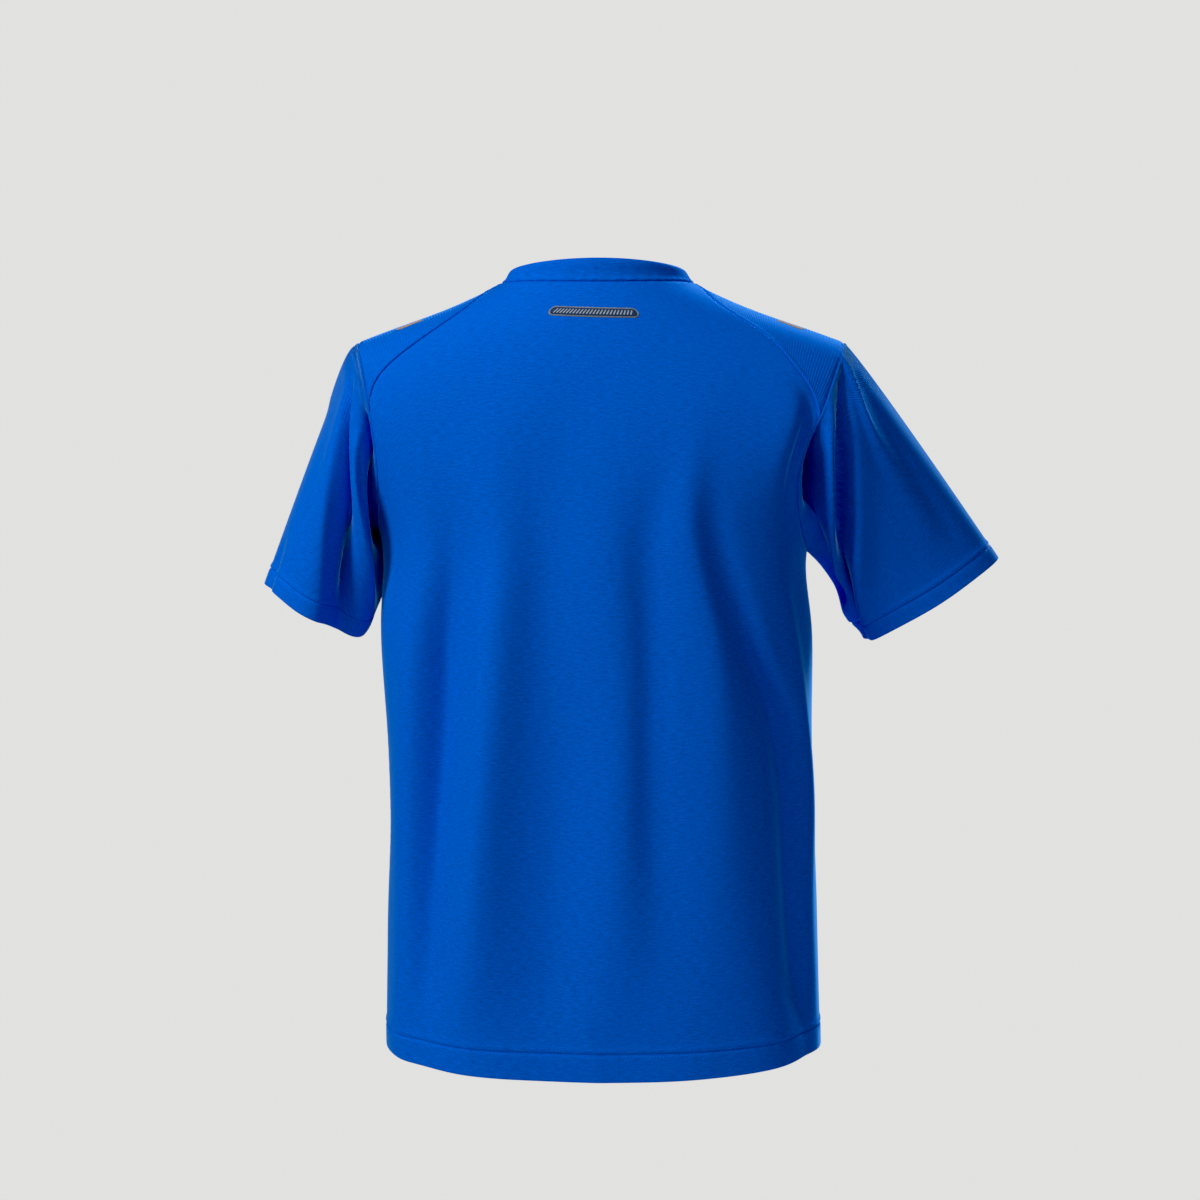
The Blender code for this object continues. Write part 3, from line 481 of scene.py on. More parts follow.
def cuff_point(side, round_):
    """A point of the cuff's edge."""
    sleeve = SLEEVES[side]
    down, across, back = sleeve_axes(side)
    drops = np.array(CUFF_DROPS[side])[:, None]
    drop = spline(np.arange(len(drops)), drops, np.degrees(round_) % 360.0 / CUFF_DROP_STEP)
    return (np.array(sleeve.centre)
            + across * (sleeve.half_width * np.cos(round_))[..., None]
            + back * (sleeve.half_depth * np.sin(round_))[..., None]
            + down * drop)


def smooth_sleeve(side, round_, run):
    """A point of the sleeve before its folds."""
    out = np.array([sign(side), 0.0, 0.0])
    down, _, _ = sleeve_axes(side)
    start = body_point(*armhole(side, round_))
    end = cuff_point(side, round_)
    from_top = np.degrees(np.arccos(np.clip(np.cos(round_), -1.0, 1.0)))
    table = np.array(SLEEVE_FLOW)
    flow = spline(table[:, 0], table[:, 1:], from_top)
    leave_out, leave_pull, arrive_out, arrive_pull = np.moveaxis(flow[..., None], -2, 0)
    length = np.linalg.norm(end - start, axis=-1, keepdims=True)
    leave = unit(down + out * leave_out) * length * leave_pull
    arrive = unit(down + out * arrive_out) * length * arrive_pull
    f = run[..., None]
    h = f * f * (3.0 - 2.0 * f)
    bow = leave * (f * (1.0 - f) ** 2) + arrive * (f * f * (f - 1.0))
    return start * (1.0 - h) + end * h + bow


def sleeve_point(side, round_, run):
    """A point of the sleeve, folds included."""
    round_, run = np.broadcast_arrays(np.asarray(round_, float), np.asarray(run, float))
    plain = functools.partial(smooth_sleeve, side)
    normal = surface_normal(plain, round_, run, STEP) * -sign(side)
    degrees, percent = np.degrees(round_) % 360.0, 100.0 * run
    height = (fold_height(SLEEVE_FOLDS[side], percent, degrees, SLEEVE_FOLD_ENDS)
              + fold_height(SLEEVE_GATHERS[side], degrees, percent, SLEEVE_FOLD_ENDS))
    return plain(round_, run) + normal * (height * smooth(run / SEWN_RUN))[..., None]


def sleeve_normal(side, round_, run):
    """Outward normal of the folded sleeve."""
    folded = functools.partial(sleeve_point, side)
    return surface_normal(folded, round_, run, FOLD_STEP) * -sign(side)


# ---- spacing ----
def graded(length, count, high=True):
    """Parts of a length from 0 to 1, close together at its low end, and at its high end if asked."""
    start = np.array(EDGE_STEPS) / length
    end = 1.0 - start[::-1] if high else np.ones(1)
    return np.concatenate([start, np.linspace(start[-1], end[0], count + 2)[1:-1], end])


def pairs(turn, level):
    """Turns and levels as rows of (turn, level)."""
    turn, level = np.broadcast_arrays(turn, level)
    return np.stack([turn, level], axis=-1)


# ---- cloth detail ----
def lengths_along(points, axis=0):
    """Distances along lines of points, from the first point of each."""
    steps = np.linalg.norm(np.diff(points, axis=axis), axis=-1)
    return np.insert(np.cumsum(steps, axis=axis), 0, 0.0, axis=axis)


def band_beside(points, edge):
    """The lines of a grid of points beside an edge, from the edge inwards, as a view."""
    lines = points if edge.endswith("row") else points.swapaxes(0, 1)
    return lines[:BAND] if edge.startswith("first") else lines[:-BAND - 1:-1]


def press_seam(points, directions, edge, seam, where=None):
    """Press a seam's furrow, roll and puckers into a grid of points, along an edge or part of it."""
    shape = SEAMS[seam]
    band = band_beside(points, edge)
    flat = band.reshape(-1, 3)
    gaps = np.linalg.norm(flat[:, None] - band[0][None], axis=-1)
    if where is not None:
        gaps += ~where[None]
    nearest = gaps.argmin(axis=1)
    away = gaps[np.arange(len(flat)), nearest].reshape(band.shape[:2])
    at = lengths_along(band[0])[nearest].reshape(away.shape)
    stray, often = PUCKER_DRIFT
    ripple = np.sin(2.0 * math.pi * at / PUCKER_LENGTH + stray * np.sin(at * often))
    ripple *= shape.pucker * bell(away, PUCKER_REACH) * smooth(away / PUCKER_START)
    roll = bell(away - shape.away, shape.away * ROLL_HALF) * smooth(away / ROLL_START)
    depth = ripple + shape.roll * roll - shape.furrow * bell(away, shape.half)
    band += band_beside(directions, edge) * depth[..., None]


def outward_normals(points, directions, closed=False):
    """Unit normals of a grid of points, on the side that the directions point to."""
    if closed:
        wide = np.concatenate([points[:, -1:], points, points[:, :1]], axis=1)
        across = wide[:, 2:] - wide[:, :-2]
    else:
        across = np.gradient(points, axis=1)
    normals = unit(np.cross(across, np.gradient(points, axis=0)))
    return normals * np.sign((normals * directions).sum(-1, keepdims=True))


def turn_to_mitre(block, side, rounds):
    """Turn directions beside an armhole, a row for each angle, to its seam's mitre in column 0.

    The mitre halves the angle between the body and the sleeve."""
    sleeve = sleeve_normal(side, rounds, np.full(len(rounds), FOLD_STEP))
    mitre = unit(body_normal(*armhole(side, rounds)) + sleeve)[:, None]
    part = smooth(np.linspace(0.0, 2.0, BAND))[:, None]
    block[:] = unit(mitre * (1.0 - part) + block * part)


def rounded(heights, radius, least):
    """How much of its thickness a folded edge has, at heights from the edge."""
    return np.sqrt(np.clip(1.0 - (1.0 - np.clip(heights / radius, 0.0, 1.0)) ** 2, least, None))


def hem_profile(heights, depth):
    """Thickness and lift of the cloth at heights above a hem's edge."""
    above = heights - depth
    step = 1.0 - smooth(above / HEM_FADE)
    thickness = CLOTH + (HEM_CLOTH * rounded(heights, HEM_ROLL, THIN_EDGE) - CLOTH) * step
    groove = bell(above + STITCH_ROWS_APART / 2.0, GROOVE_HALF)
    ridge = bell(above - RIDGE_ABOVE, RIDGE_ABOVE)
    return thickness, (HEM_CLOTH - CLOTH) * HEM_LIFT * step - GROOVE * groove + RIDGE * ridge


# ---- meshes ----
def wall_faces(rows, columns, closed):
    """Quads of a closed wall: the outer grid's points first and then the inner grid's."""
    index = np.arange(rows * columns).reshape(rows, columns)
    if closed:
        index = np.concatenate([index, index[:, :1]], axis=1)
    a, b, c, d = index[:-1, :-1], index[:-1, 1:], index[1:, 1:], index[1:, :-1]
    outer = np.stack([a, b, c, d], axis=-1).reshape(-1, 4)
    shift = rows * columns
    rims = [(index[0, 1:], index[0, :-1]), (index[-1, :-1], index[-1, 1:])]
    if not closed:
        rims += [(index[:-1, 0], index[1:, 0]), (index[1:, -1], index[:-1, -1])]
    rim = [np.stack([p, q, q + shift, p + shift], axis=-1) for p, q in rims]
    return np.concatenate([outer, outer[:, ::-1] + shift] + rim)


def cloth_lengths(points):
    """How far each point of a grid lies across its cloth from the middle, and up it, in metres."""
    across, up = lengths_along(points, axis=1), lengths_along(points)
    across -= across[:, [across.shape[1] // 2]]
    return np.stack([across, up], axis=-1).reshape(-1, 2)


def place_object(name, data, place=(0.0, 0.0, 0.0), angles=(0.0, 0.0, 0.0)):
    """A new object in the scene."""
    thing = bpy.data.objects.new(name, data)
    thing.location = place
    thing.rotation_euler = angles
    bpy.context.scene.collection.objects.link(thing)
    return thing


def new_object(name, vertices, faces, uv=None):
    """An object of smooth-shaded quads, with its cloth lengths as a UV map."""
    mesh = bpy.data.meshes.new(name)
    mesh.from_pydata(vertices.tolist(), [], faces.tolist())
    mesh.validate()
    mesh.shade_smooth()
    if uv is not None:
        layer = mesh.uv_layers.new(name="cloth")
        loops = np.empty(len(mesh.loops), dtype=np.int32)
        mesh.loops.foreach_get("vertex_index", loops)
        layer.uv.foreach_set("vector", uv[loops].astype(np.float32).ravel())
    return place_object(name, mesh)


def add_wall(name, points, normals, thickness, closed=False):
    """A closed wall round a grid of middle points, rows by columns."""
    half = normals * (np.broadcast_to(thickness, points.shape[:2])[..., None] / 2.0)
    outer, inner = points + half, points - half
    faces = wall_faces(*points.shape[:2], closed)
    first = np.cross(outer[0, 1] - outer[0, 0], outer[1, 0] - outer[0, 0])
    if first @ normals[0, 0] < 0.0:
        faces = faces[:, ::-1]
    vertices = np.concatenate([outer.reshape(-1, 3), inner.reshape(-1, 3)])
    return new_object(name, vertices, faces, np.tile(cloth_lengths(points), (2, 1)))


def add_hemmed(name, points, directions, heights, depth, sewn, closed=False):
    """A wall of cloth with a hem, and its outer points and normals for the stitches.

    sewn is the place in the grid, along seams, where the directions serve as normals."""
    thickness, lift = hem_profile(heights, depth)
    points += directions * lift[:, None, None]
    normals = outward_normals(points, directions, closed)
    normals[sewn] = directions[sewn]
    piece = add_wall(name, points, normals, thickness[:, None], closed)
    return piece, points + normals * (thickness[:, None, None] / 2.0), normals


# ---- body panels ----
def hole_rounds(face):
    """Angles round the armhole from the armpit to a shoulder seam, on one face."""
    return sign(face) * np.radians(np.linspace(180.0, SHOULDER_SEAM_ENDS[face], HOLE_COUNT + 1))


def body_heights():
    """Heights above the hem of the rows below the armpit, on a side seam."""
    top = SECTIONS[ARMPIT][1] - SECTIONS[0][1]
    count = int((top - HEM_STEPS[-1]) / BODY_STEP)
    return np.concatenate([HEM_STEPS, np.linspace(HEM_STEPS[-1], top, count + 1)[1:]])


def rows_to(level):
    """Levels of the rows from the hem up to a level."""
    heights = body_heights()
    levels = np.linspace(0.0, ARMPIT, LEVEL_PROBES)
    z = section(levels)[:, 1] - SECTIONS[0][1]
    rows = np.interp(heights, z, levels)
    stretch = smooth((heights - LEVEL_HEM) / (heights[-1] - LEVEL_HEM))
    return rows + stretch * (level - rows[-1])


def seam_parts():
    """Parts along a shoulder seam, from the collar seam to the armhole."""
    return graded(SHOULDER_SEAM_LENGTH, SEAM_COUNT, high=False)


def panel_edge(side, face):
    """One edge of the back or the front: side seam, armhole and shoulder seam, hem to collar."""
    levels = rows_to(ARMHOLES[side].pit_level)
    side_seam = pairs(np.full(len(levels), on_side(side, 0.0)), levels)
    hole = pairs(*armhole(side, hole_rounds(face)))
    seam = pairs(*shoulder_seam(side, face, seam_parts()))[::-1]
    edge = np.concatenate([side_seam, hole[1:], seam[1:]])
    if face == "front" and side == "right":
        edge = edge - [2.0 * math.pi, 0.0]
    return edge


def body_panel_grid(face, count):
    """Turn and level over the back or the front: rows hem to collar, columns left to right."""
    part = graded(CHEST_WIDTH, count)
    left, right = panel_edge("left", face), panel_edge("right", face)
    grid = left[:, None] * (1.0 - part)[:, None] + right[:, None] * part[:, None]
    seam_rows = len(seam_parts())
    seams = grid[-seam_rows:, 0, 1]
    across_chest = np.linspace(MIDDLE_PIT_LEVEL, seams[0], HOLE_COUNT + 1)
    middle = np.concatenate([rows_to(MIDDLE_PIT_LEVEL), across_chest[1:], seams[1:]])
    bend = 1.0 - (2.0 * part - 1.0) ** 2
    grid[..., 1] += bend * (middle[:, None] - grid[..., 1])
    return grid


def edge_directions(grid, face):
    """Directions to press seams in: the body's normals, and mitres along the armholes."""
    directions = body_normal(grid[..., 0], grid[..., 1])
    rounds = hole_rounds(face)
    low = len(body_heights()) - 1
    hole_rows = slice(low, low + len(rounds))
    turn_to_mitre(directions[hole_rows, :BAND], "left", rounds)
    turn_to_mitre(directions[hole_rows, :-BAND - 1:-1], "right", rounds)
    return directions, hole_rows


def add_body_panel(face, count):
    """The back or the front, from hem to collar."""
    grid = body_panel_grid(face, count)
    points = body_point(grid[..., 0], grid[..., 1])
    directions, hole_rows = edge_directions(grid, face)
    index = np.arange(len(points))
    low, high = hole_rows.start, hole_rows.stop - 1
    spans = {"side": index <= low, "shoulder, body side": index >= high,
             "armhole, body side": (index >= low) & (index <= high)}
    for edge in ("first_column", "last_column"):
        for seam, where in spans.items():
            press_seam(points, directions, edge, seam, where)
    press_seam(points, directions, "last_row", "neck, body side")
    heights = np.full(len(points), FAR_FROM_HEM)
    heights[:low + 1] = body_heights()
    sides = np.s_[:, [0, -1]]
    return add_hemmed(face + "_panel_cloth", points, directions, heights, HEM_DEPTH, sides)


def coons(low, high, first, last, u, v):
    """A grid inside four edges: low and high run along columns u, first and last up rows v."""
    v, u = v[:, None, None], u[None, :, None]
    corners = ((1 - v) * ((1 - u) * low[0] + u * low[-1])
               + v * ((1 - u) * high[0] + u * high[-1]))
    edges = (1 - v) * low[None] + v * high[None] + (1 - u) * first[:, None] + u * last[:, None]
    return edges - corners


def add_shoulder_panel(side):
    """The panel over one shoulder: rows from the back seam to the front seam."""
    across = graded(SHOULDER_SEAM_LENGTH, SEAM_COUNT)
    back = pairs(*shoulder_seam(side, "back", across))
    front = pairs(*shoulder_seam(side, "front", across))
    over = graded(SHOULDER_REACH, SHOULDER_COUNT)
    ends = [math.radians(SHOULDER_SEAM_ENDS["back"]), -math.radians(SHOULDER_SEAM_ENDS["front"])]
    rounds = ends[0] + (ends[1] - ends[0]) * over
    neck = pairs(back[0, 0] + (front[0, 0] - back[0, 0]) * over, float(NECK))
    grid = coons(back, front, neck, pairs(*armhole(side, rounds)), across, over)
    points = body_point(grid[..., 0], grid[..., 1])
    directions = body_normal(grid[..., 0], grid[..., 1])
    turn_to_mitre(directions[:, :-BAND - 1:-1], side, rounds)
    for edge, seam in (("first_row", "shoulder, panel side"), ("last_row", "shoulder, panel side"),
                       ("first_column", "neck, body side"), ("last_column", "armhole, body side")):
        press_seam(points, directions, edge, seam)
    normals = outward_normals(points, directions)
    normals[:, -1] = directions[:, -1]
    return add_wall("shoulder_panel_" + side + "_cloth", points, normals, CLOTH)


def sleeve_runs(side, rounds):
    """Runs of a sleeve's rows at each angle: close together at the armhole and in the cuff's hem."""
    probe = np.linspace(0.0, 1.0, RUN_PROBES)
    column = smooth_sleeve(side, *np.broadcast_arrays(rounds[None], probe[:, None]))
    lengths = np.linalg.norm(np.diff(column, axis=0), axis=-1).sum(axis=0)
    steps, hem = np.array(EDGE_STEPS), np.array(HEM_STEPS)
    count = int((lengths.mean() - steps[-1] - hem[-1]) / SLEEVE_STEP)
    f = np.linspace(0.0, 1.0, count)[1:-1, None]
    middle = steps[-1] * (1.0 - f) + (lengths[None] - hem[-1]) * f
    start = np.broadcast_to(steps[:, None], (len(steps), SLEEVE_ROUND))
    end = lengths[None] - hem[::-1, None]
    return np.concatenate([start, middle, end]) / lengths[None]


def add_sleeve(side):
    """A set-in sleeve: rows from the armhole to the cuff, closed round."""
    rounds = np.linspace(0.0, 2.0 * math.pi, SLEEVE_ROUND, endpoint=False)
    run = sleeve_runs(side, rounds)
    round_grid = np.broadcast_to(rounds, run.shape)
    points = sleeve_point(side, round_grid, run)
    directions = sleeve_normal(side, round_grid, run)
    turn_to_mitre(directions[:BAND].swapaxes(0, 1), side, rounds)
    press_seam(points, directions, "first_row", "armhole, sleeve side")
    heights = np.full(len(points), FAR_FROM_HEM)
    heights[-len(HEM_STEPS):] = HEM_STEPS[::-1]
    return add_hemmed("sleeve_" + side + "_cloth", points, directions, heights, CUFF_DEPTH, 0, True)


def add_collar():
    """The collar band: folded at its top edge, and seamed to the panels at its foot."""
    turns = np.linspace(0.0, 2.0 * math.pi, COLLAR_COUNT, endpoint=False)
    heights = np.array(COLLAR_STEPS)
    part = heights / heights[-1]
    turn_grid, level_grid = np.meshgrid(turns, NECK + part * (COLLAR_TOP - NECK))
    points = body_point(turn_grid, level_grid)
    directions = body_normal(turn_grid, level_grid)
    swell = sum(height * bell(part - middle, half) for height, middle, half in COLLAR_SWELLS)
    least, size, start = COLLAR_UNEVEN
    uneven = ((least + (1.0 - least) * np.sin(turns) ** 2)
              * (1.0 + size * np.sin(3.0 * turns + start)))
    points += directions * swell[:, None, None] * uneven[None, :, None]
    press_seam(points, directions, "first_row", "neck, collar side")
    thickness = COLLAR_CLOTH * rounded(heights[-1] - heights, COLLAR_ROLL, THIN_COLLAR_EDGE)
    return add_wall("collar_cloth", points, directions, thickness[:, None], closed=True)


# ---- stitches ----
def along_line(at, length, values):
    """Rows of values at distances along a line."""
    return np.stack([np.interp(at, length, values[:, k]) for k in range(3)], axis=-1)


def thread_faces(count):
    """Quads between the rings of a number of threads."""
    index = np.arange(len(STITCH_STATIONS) * STITCH_SIDES).reshape(-1, STITCH_SIDES)
    following = np.roll(index, -1, axis=1)
    quads = np.stack([index[:-1], following[:-1], following[1:], index[1:]], axis=-1)
    faces = quads.reshape(-1, 1, 4) + (np.arange(count) * index.size)[None, :, None]
    return faces.reshape(-1, 4)


def stitches_along(line, normals, closed):
    """Vertices and faces of a row of short threads lying along a line of surface points."""
    if closed:
        line = np.concatenate([line, line[:1]])
        normals = np.concatenate([normals, normals[:1]])
    length = lengths_along(line)
    starts = np.arange(STITCH_PITCH * STITCH_START, length[-1] - STITCH_LENGTH, STITCH_PITCH)
    ring = np.arange(STITCH_SIDES) * (2.0 * math.pi / STITCH_SIDES)
    loops = []
    for part, scale, rise in STITCH_STATIONS:
        at = starts + part * STITCH_LENGTH
        centre = along_line(at, length, line)
        up = unit(along_line(at, length, normals))
        aside = unit(np.cross(along_line(at + STITCH_AHEAD, length, line) - centre, up))
        reach = scale * STITCH_RADIUS
        loops.append((centre + up * (rise * STITCH_RADIUS))[:, None]
                     + aside[:, None] * (np.cos(ring) * reach)[None, :, None]
                     + up[:, None] * (np.sin(ring) * reach)[None, :, None])
    return np.stack(loops, axis=1).reshape(-1, 3), thread_faces(len(starts))


def add_stitches(name, rows, closed):
    """One object of several rows of stitches."""
    vertices, faces, count = [], [], 0
    for line, normals in rows:
        v, f = stitches_along(line, normals, closed)
        vertices.append(v)
        faces.append(f + count)
        count += len(v)
    return new_object(name, np.concatenate(vertices), np.concatenate(faces))


def stitch_rows(outer, normals, depth, from_end=False):
    """The two grid rows that a hem's stitches lie on."""
    rows = []
    for height in (depth, depth - STITCH_ROWS_APART):
        index = int(np.argmin(np.abs(np.array(HEM_STEPS) - height)))
        index = len(outer) - 1 - index if from_end else index
        rows.append((outer[index], normals[index]))
    return rows


# ---- transfers ----
def on_cloth(turn, level, across, up, lift):
    """Points and normals of plane offsets (across, up) in metres laid on the body's cloth."""
    here = body_point(turn, level)
    per_turn = np.linalg.norm(body_point(turn + STEP, level) - here) / STEP
    per_level = np.linalg.norm(body_point(turn, level + STEP) - here) / STEP
    turns, levels = turn + across / per_turn, level + up / per_level
    normals = body_normal(turns, levels)
    return body_point(turns, levels) + normals * (CLOTH / 2.0 + lift), normals


def stadium(width, height, columns):
    """A grid of plane points filling a bar with round ends."""
    straight = (width - height) / 2.0
    angle = np.linspace(-1.0, 1.0, columns)
    across = np.sin(angle * math.pi / 2.0) * width / 2.0
    beyond = np.clip(np.abs(across) - straight, 0.0, None)
    reach = np.sqrt(np.clip((height / 2.0) ** 2 - beyond ** 2, (height * PLATE_TIP) ** 2, None))
    up = np.linspace(-1.0, 1.0, PLATE_ROWS)[:, None] * reach[None, :]
    return np.broadcast_to(across, up.shape), up


def add_plate(name, place, centre, size, lift, thickness, angle, columns):
    """A thin round-ended plate on the cloth, (across, up) from a place and turned by an angle."""
    across, up = stadium(*size, columns)
    c, s = math.cos(math.radians(angle)), math.sin(math.radians(angle))
    across, up = centre[0] + across * c - up * s, centre[1] + across * s + up * c
    points, normals = on_cloth(*place, across, up, lift + thickness / 2.0)
    return add_wall(name, points, normals, thickness)


def join(pieces, name):
    """Several objects made into one."""
    for piece in bpy.context.selected_objects:
        piece.select_set(False)
    for piece in pieces:
        piece.select_set(True)
    bpy.context.view_layer.objects.active = pieces[0]
    bpy.ops.object.join()
    pieces[0].name = name
    pieces[0].data.name = name
    return pieces[0]


def add_patch():
    """The neck patch: a dark plate in a grey border, with a plain pattern of slanting strokes."""
    middle = (0.0, 0.0)
    border = add_plate("neck_patch_border", PATCH_PLACE, middle, PATCH_SIZE, 0.0, TRANSFER,
                       PATCH_TILT, PATCH_COLUMNS)
    field_size = [length - 2.0 * PATCH_BORDER for length in PATCH_SIZE]
    field = add_plate("neck_patch_field", PATCH_PLACE, middle, field_size,
                      TRANSFER - PRINT * FIELD_SINK, PRINT, PATCH_TILT, PATCH_COLUMNS)
    strokes = []
    tilt = math.radians(PATCH_TILT)
    for k in range(STROKE_COUNT):
        along = (k - (STROKE_COUNT - 1) / 2.0) * STROKE_PITCH
        centre = (along * math.cos(tilt), along * math.sin(tilt))
        strokes.append(add_plate("stroke", PATCH_PLACE, centre, STROKE_SIZE,
                                 TRANSFER + PRINT * STROKE_RISE, PRINT,
                                 90.0 - STROKE_LEAN + PATCH_TILT, STROKE_COLUMNS))
    return border, field, join(strokes, "neck_patch_marks")


# ---- materials ----
class Nodes:
    """Makes and links the nodes of a material or a world."""

    def __init__(self, owner):
        owner.use_nodes = True
        self.owner = owner
        self.tree = owner.node_tree
        self.shader = self.tree.nodes.get("Principled BSDF")

    def set(self, node, inputs):
        """Set a node's inputs; one that is given a socket is linked to it."""
        for key, value in inputs.items():
            if isinstance(value, bpy.types.NodeSocket):
                self.tree.links.new(value, node.inputs[key])
            else:
                node.inputs[key].default_value = value

    def add(self, kind, inputs=None, **settings):
        """A node with some of its inputs and settings set."""
        node = self.tree.nodes.new(kind)
        for key, value in settings.items():
            setattr(node, key, value)
        self.set(node, inputs or {})
        return node

    def scaled(self, scale):
        """The cloth's own lengths in metres, scaled across and up."""
        lengths = self.add("ShaderNodeUVMap", uv_map="cloth").outputs["UV"]
        return self.add("ShaderNodeMapping", {
            "Vector": lengths, "Scale": (*scale, 1.0)}).outputs["Vector"]

    def noise(self, scale, detail, roughness):
        """Noise stretched along the cloth; scale is in cells a metre."""
        return self.add("ShaderNodeTexNoise", {
            "Vector": self.scaled(scale), "Scale": 1.0, "Detail": detail,
            "Roughness": roughness}).outputs["Fac"]

    def ribs(self, pitch):
        """Even ridges, 0 to 1, that run up the cloth."""
        inputs = {"Vector": self.scaled((1.0 / pitch, 0.0)), "Scale": WAVE_SCALE, "Distortion": 0.0}
        return self.add("ShaderNodeTexWave", inputs, wave_type="BANDS", bands_direction="X",
                        wave_profile="SIN").outputs["Fac"]

    def math(self, operation, a, b):
        """One math node's result."""
        return self.add("ShaderNodeMath", {0: a, 1: b}, operation=operation).outputs[0]

    def fade(self, value, start, end):
        """A smooth step from 0 at start to 1 at end."""
        inputs = {"Value": value, "From Min": start, "From Max": end}
        return self.add("ShaderNodeMapRange", inputs,
                        interpolation_type="SMOOTHSTEP").outputs["Result"]

    def ramp(self, fac, ends, colour, tones):
        """A colour made darker at a factor's low end and lighter at its high end."""
        node = self.add("ShaderNodeValToRGB", {"Fac": fac})
        for stop, at, amount in zip(node.color_ramp.elements, ends, tones):
            stop.position = at
            stop.color = (*scale_colour(colour, amount), 1.0)
        return node.outputs["Color"]

    def bump(self, height, distance, strength, **below):
        """A bump node's normal, over the one below if any; distance is in metres."""
        inputs = {"Height": height, "Distance": distance, "Strength": strength, **below}
        return self.add("ShaderNodeBump", inputs).outputs["Normal"]


def new_material(name):
    """The nodes of a new material."""
    return Nodes(bpy.data.materials.new(name))


def scale_colour(colour, amount):
    """A colour made lighter or darker."""
    return tuple(min(1.0, c * amount) for c in colour)


def rib_height(nodes, pitch, reach):
    """Ribs of a pitch; with a reach, only over the top of a sleeve and that far down it."""
    ribs = nodes.ribs(pitch)
    if not reach:
        return ribs
    place = nodes.add("ShaderNodeSeparateXYZ", {0: nodes.scaled((1.0, 1.0))}).outputs
    down = nodes.fade(place["Y"], reach, reach * RIB_FADE)
    top = nodes.fade(nodes.math("ABSOLUTE", place["X"], 0.0), *RIB_TOP)
    return nodes.math("MULTIPLY", ribs, nodes.math("MULTIPLY", down, top))


def knit_material(name, colour, sheen, rib_pitch=None, rib_depth=0.0, rib_reach=None):
    """Fine knit: slubs along its courses, a grain of loops, a satin sheen, and ribs if asked."""
    nodes = new_material(name)
    slub = nodes.noise(*SLUB)
    loops = nodes.noise(*LOOPS)
    tone = nodes.math("ADD", nodes.math("MULTIPLY", slub, 0.5), nodes.math("MULTIPLY", loops, 0.5))
    rough = nodes.add("ShaderNodeMapRange", {
        "Value": slub, "From Min": KNIT_RAMP[0], "From Max": KNIT_RAMP[1],
        "To Min": KNIT_ROUGHNESS[0], "To Max": KNIT_ROUGHNESS[1]})
    normal = nodes.bump(loops, *LOOP_BUMP)
    normal = nodes.bump(slub, *SLUB_BUMP, Normal=normal)
    if rib_pitch:
        normal = nodes.bump(rib_height(nodes, rib_pitch, rib_reach), rib_depth, 1.0, Normal=normal)
    nodes.set(nodes.shader, {
        "Base Color": nodes.ramp(tone, KNIT_RAMP, colour, KNIT_TONES),
        "Roughness": rough.outputs["Result"], "Normal": normal, "Specular IOR Level": 0.0,
        "Sheen Weight": SHEEN, "Sheen Roughness": SHEEN_ROUGHNESS, "Sheen Tint": (*sheen, 1.0)})
    return nodes.owner


def print_material(name, colour, roughness):
    """A pressed-on print, slightly uneven over the knit below it."""
    nodes = new_material(name)
    grain = nodes.noise(*PRINT_GRAIN)
    nodes.set(nodes.shader, {
        "Base Color": nodes.ramp(grain, PRINT_RAMP, colour, PRINT_TONES),
        "Roughness": roughness, "Normal": nodes.bump(grain, *PRINT_BUMP),
        "Specular IOR Level": 0.0})
    return nodes.owner


def thread_material(name, colour):
    """Sewing thread, twisted and a little shinier than the knit."""
    nodes = new_material(name)
    place = nodes.add("ShaderNodeTexCoord").outputs["Object"]
    twist = nodes.add("ShaderNodeTexNoise", {"Vector": place, "Scale": TWIST, "Detail": 1.0})
    nodes.set(nodes.shader, {
        "Base Color": nodes.ramp(twist.outputs["Fac"], THREAD_RAMP, colour, THREAD_TONES),
        "Roughness": 0.45, "Specular IOR Level": 0.1})
    return nodes.owner


# ---- floor, light, camera ----
FLOOR_Z = -1.45
FLOOR_HALF = 14.0
FLOOR_FADE = (1.5, 2.15)  # how far from the middle the floor fades into the surround
BLACK_LEVEL = 0.012  # the darkest tones of a studio picture print as black
SURROUND = (0.13, 0.95)  # strength as a light, and as it is seen
CAMERA = (-0.0019, 2.12, -0.297)
LENS = 67.44
SENSOR = 36.0  # mm, as the lens is
LIGHTS = (  # name, place, target, size, power, colour
    ("key", (2.00, 1.42, 1.55), (0.0, 0.0, -0.25), 0.8, 75.0, (1.0, 0.99, 0.98)),
    ("fill", (-0.5, 2.8, 1.40), (0.0, 0.0, -0.30), 1.6, 22.0, (0.97, 0.99, 1.0)),
    ("rim", (-1.45, -2.1, 1.50), (-0.1, 0.0, -0.2), 0.7, 125.0, (0.85, 0.95, 1.0)),
)


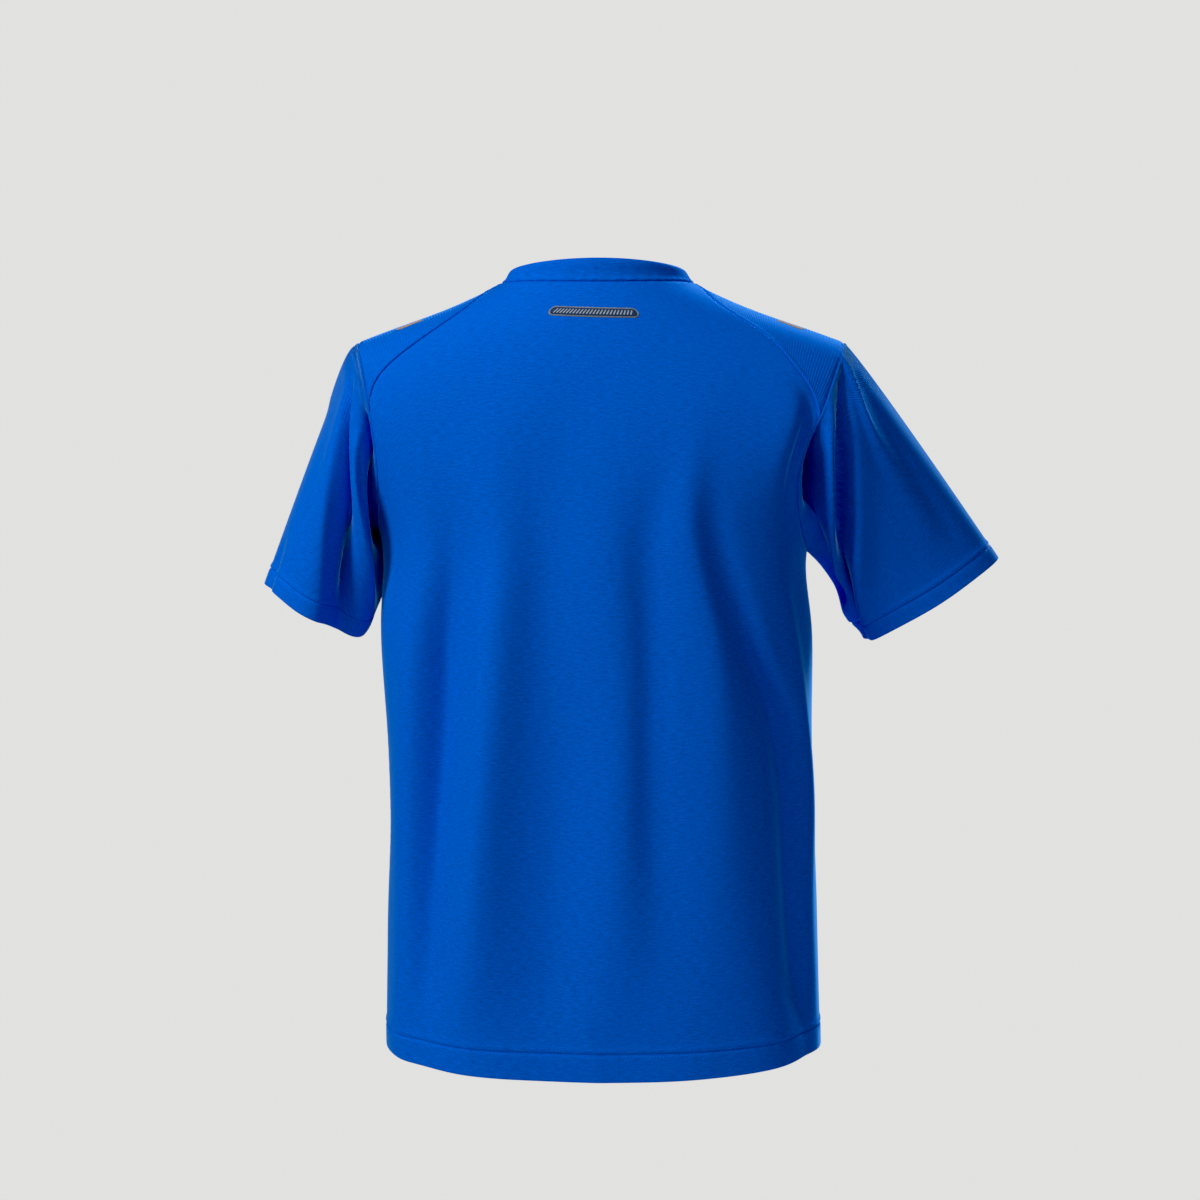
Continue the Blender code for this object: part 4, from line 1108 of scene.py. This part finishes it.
def add_floor():
    """A pale floor that fades into the pale surround."""
    ends = ((-1.0, -1.0), (1.0, -1.0), (1.0, 1.0), (-1.0, 1.0))
    corners = np.array([(x * FLOOR_HALF, y * FLOOR_HALF, FLOOR_Z) for x, y in ends])
    floor = new_object("floor", corners, np.array([[0, 1, 2, 3]]))
    nodes = new_material("floor_paint")
    nodes.set(nodes.shader, {
        "Base Color": (*PALE, 1.0), "Roughness": 0.9, "Specular IOR Level": 0.1,
        "Emission Color": (*PALE, 1.0), "Emission Strength": 0.35})
    place = nodes.add("ShaderNodeTexCoord").outputs["Object"]
    far = nodes.add("ShaderNodeVectorMath", {0: place}, operation="LENGTH").outputs["Value"]
    clear = nodes.add("ShaderNodeBsdfTransparent").outputs["BSDF"]
    mix = nodes.add("ShaderNodeMixShader", {
        0: nodes.fade(far, *FLOOR_FADE), 1: nodes.shader.outputs["BSDF"], 2: clear})
    nodes.set(nodes.tree.nodes["Material Output"], {"Surface": mix.outputs[0]})
    floor.data.materials.append(nodes.owner)


def add_area(name, place, target, size, power, colour):
    """A soft square light at a place, facing a target."""
    data = bpy.data.lights.new(name, "AREA")
    data.shape = "SQUARE"
    data.size = size
    data.energy = power
    data.color = colour
    away = np.array(place) - np.array(target)
    tilt = math.acos(away[2] / np.linalg.norm(away))
    place_object(name, data, place, (tilt, 0.0, math.atan2(away[1], away[0]) + math.pi / 2.0))


def add_surround(strength, seen):
    """A pale, even surround: weak as a light, and pale as it is seen."""
    world = bpy.data.worlds.new("surround")
    nodes = Nodes(world)
    seen_by_camera = nodes.add("ShaderNodeLightPath").outputs["Is Camera Ray"]
    level = nodes.add("ShaderNodeMapRange", {
        "Value": seen_by_camera, "To Min": strength, "To Max": seen}).outputs["Result"]
    nodes.set(nodes.tree.nodes["Background"], {"Color": (*PALE, 1.0), "Strength": level})
    bpy.context.scene.world = world


def add_camera():
    """The camera, level and square to the jersey's back."""
    data = bpy.data.cameras.new("camera")
    data.lens = LENS
    data.sensor_width = SENSOR
    camera = place_object("camera", data, CAMERA, (math.pi / 2.0, 0.0, math.pi))
    bpy.context.scene.camera = camera


# ---- the scene ----
def finish_piece(piece, material, nodes=()):
    """Give a piece its material, its body and the solids it stands for."""
    piece.data.materials.append(material)
    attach(piece, "root")
    if nodes:
        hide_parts(*nodes)


def add_panel(face, count, thread):
    """The back or the front, with the stitches of its hem."""
    panel, outer, normals = add_body_panel(face, count)
    finish_piece(panel, knit_material(face + "_knit", BLUE, SHEEN_BLUE),
                 [face + "_panel"])
    hem = add_stitches("hem_stitches_" + face, stitch_rows(outer, normals, HEM_DEPTH), closed=False)
    finish_piece(hem, thread)
    return panel


def add_arm(side, shoulders, sleeve_knit, thread):
    """One side's shoulder panel and its bar, and the sleeve with the stitches of its cuff."""
    panel = add_shoulder_panel(side)
    finish_piece(panel, shoulders, ["shoulder_panel_" + side])
    sleeve, outer, normals = add_sleeve(side)
    finish_piece(sleeve, sleeve_knit, ["sleeve_" + side])
    rows = stitch_rows(outer, normals, CUFF_DEPTH, from_end=True)
    finish_piece(add_stitches("cuff_stitches_" + side, rows, closed=True), thread)
    place = (on_side(side, math.radians(BAR_TURN)), BAR_LEVEL)
    bar = add_plate("shoulder_bar_" + side + "_print", place, (0.0, 0.0), BAR_SIZE, 0.0, TRANSFER,
                    90.0, BAR_COLUMNS)
    finish_piece(bar, print_material("bronze_print_" + side, BRONZE, 0.6),
                 ["shoulder_bar_" + side])


def add_neck():
    """The collar band, and the patch below it; returns the collar."""
    collar = add_collar()
    finish_piece(collar, knit_material("collar_knit", BLUE, SHEEN_BLUE), ["collar"])
    border, field, marks = add_patch()
    finish_piece(border, print_material("patch_border_print", PATCH_GREY, 0.5),
                 ["neck_patch"])
    finish_piece(field, print_material("patch_field_print", PATCH_DARK, 0.55))
    light_grey = scale_colour(PATCH_GREY, MARKS_LIGHTER)
    finish_piece(marks, print_material("patch_marks_print", light_grey, 0.5))
    return collar


def set_stage():
    """The camera, the floor, the lights and the picture's tones."""
    add_camera()
    add_floor()
    add_surround(*SURROUND)
    for light in LIGHTS:
        add_area(*light)
    view = bpy.context.scene.view_settings
    view.view_transform = "Standard"
    view.use_curve_mapping = True
    view.curve_mapping.black_level = (BLACK_LEVEL,) * 3


def build():
    """Make every piece and the stage."""
    thread = thread_material("blue_thread", THREAD_BLUE)
    back = add_panel("back", BACK_COUNT, thread)
    front = add_panel("front", FRONT_COUNT, thread)
    shoulders = knit_material("shoulder_rib_knit", BLUE, SHEEN_BLUE, RIB_PITCH, SHOULDER_RIB_DEPTH)
    sleeve_knit = knit_material("sleeve_knit", BLUE, SLEEVE_SHEEN, RIB_PITCH, SLEEVE_RIB_DEPTH,
                                SLEEVE_RIB_REACH)
    for side in ("left", "right"):
        add_arm(side, shoulders, sleeve_knit, thread)
    collar = add_neck()
    set_stage()


build()
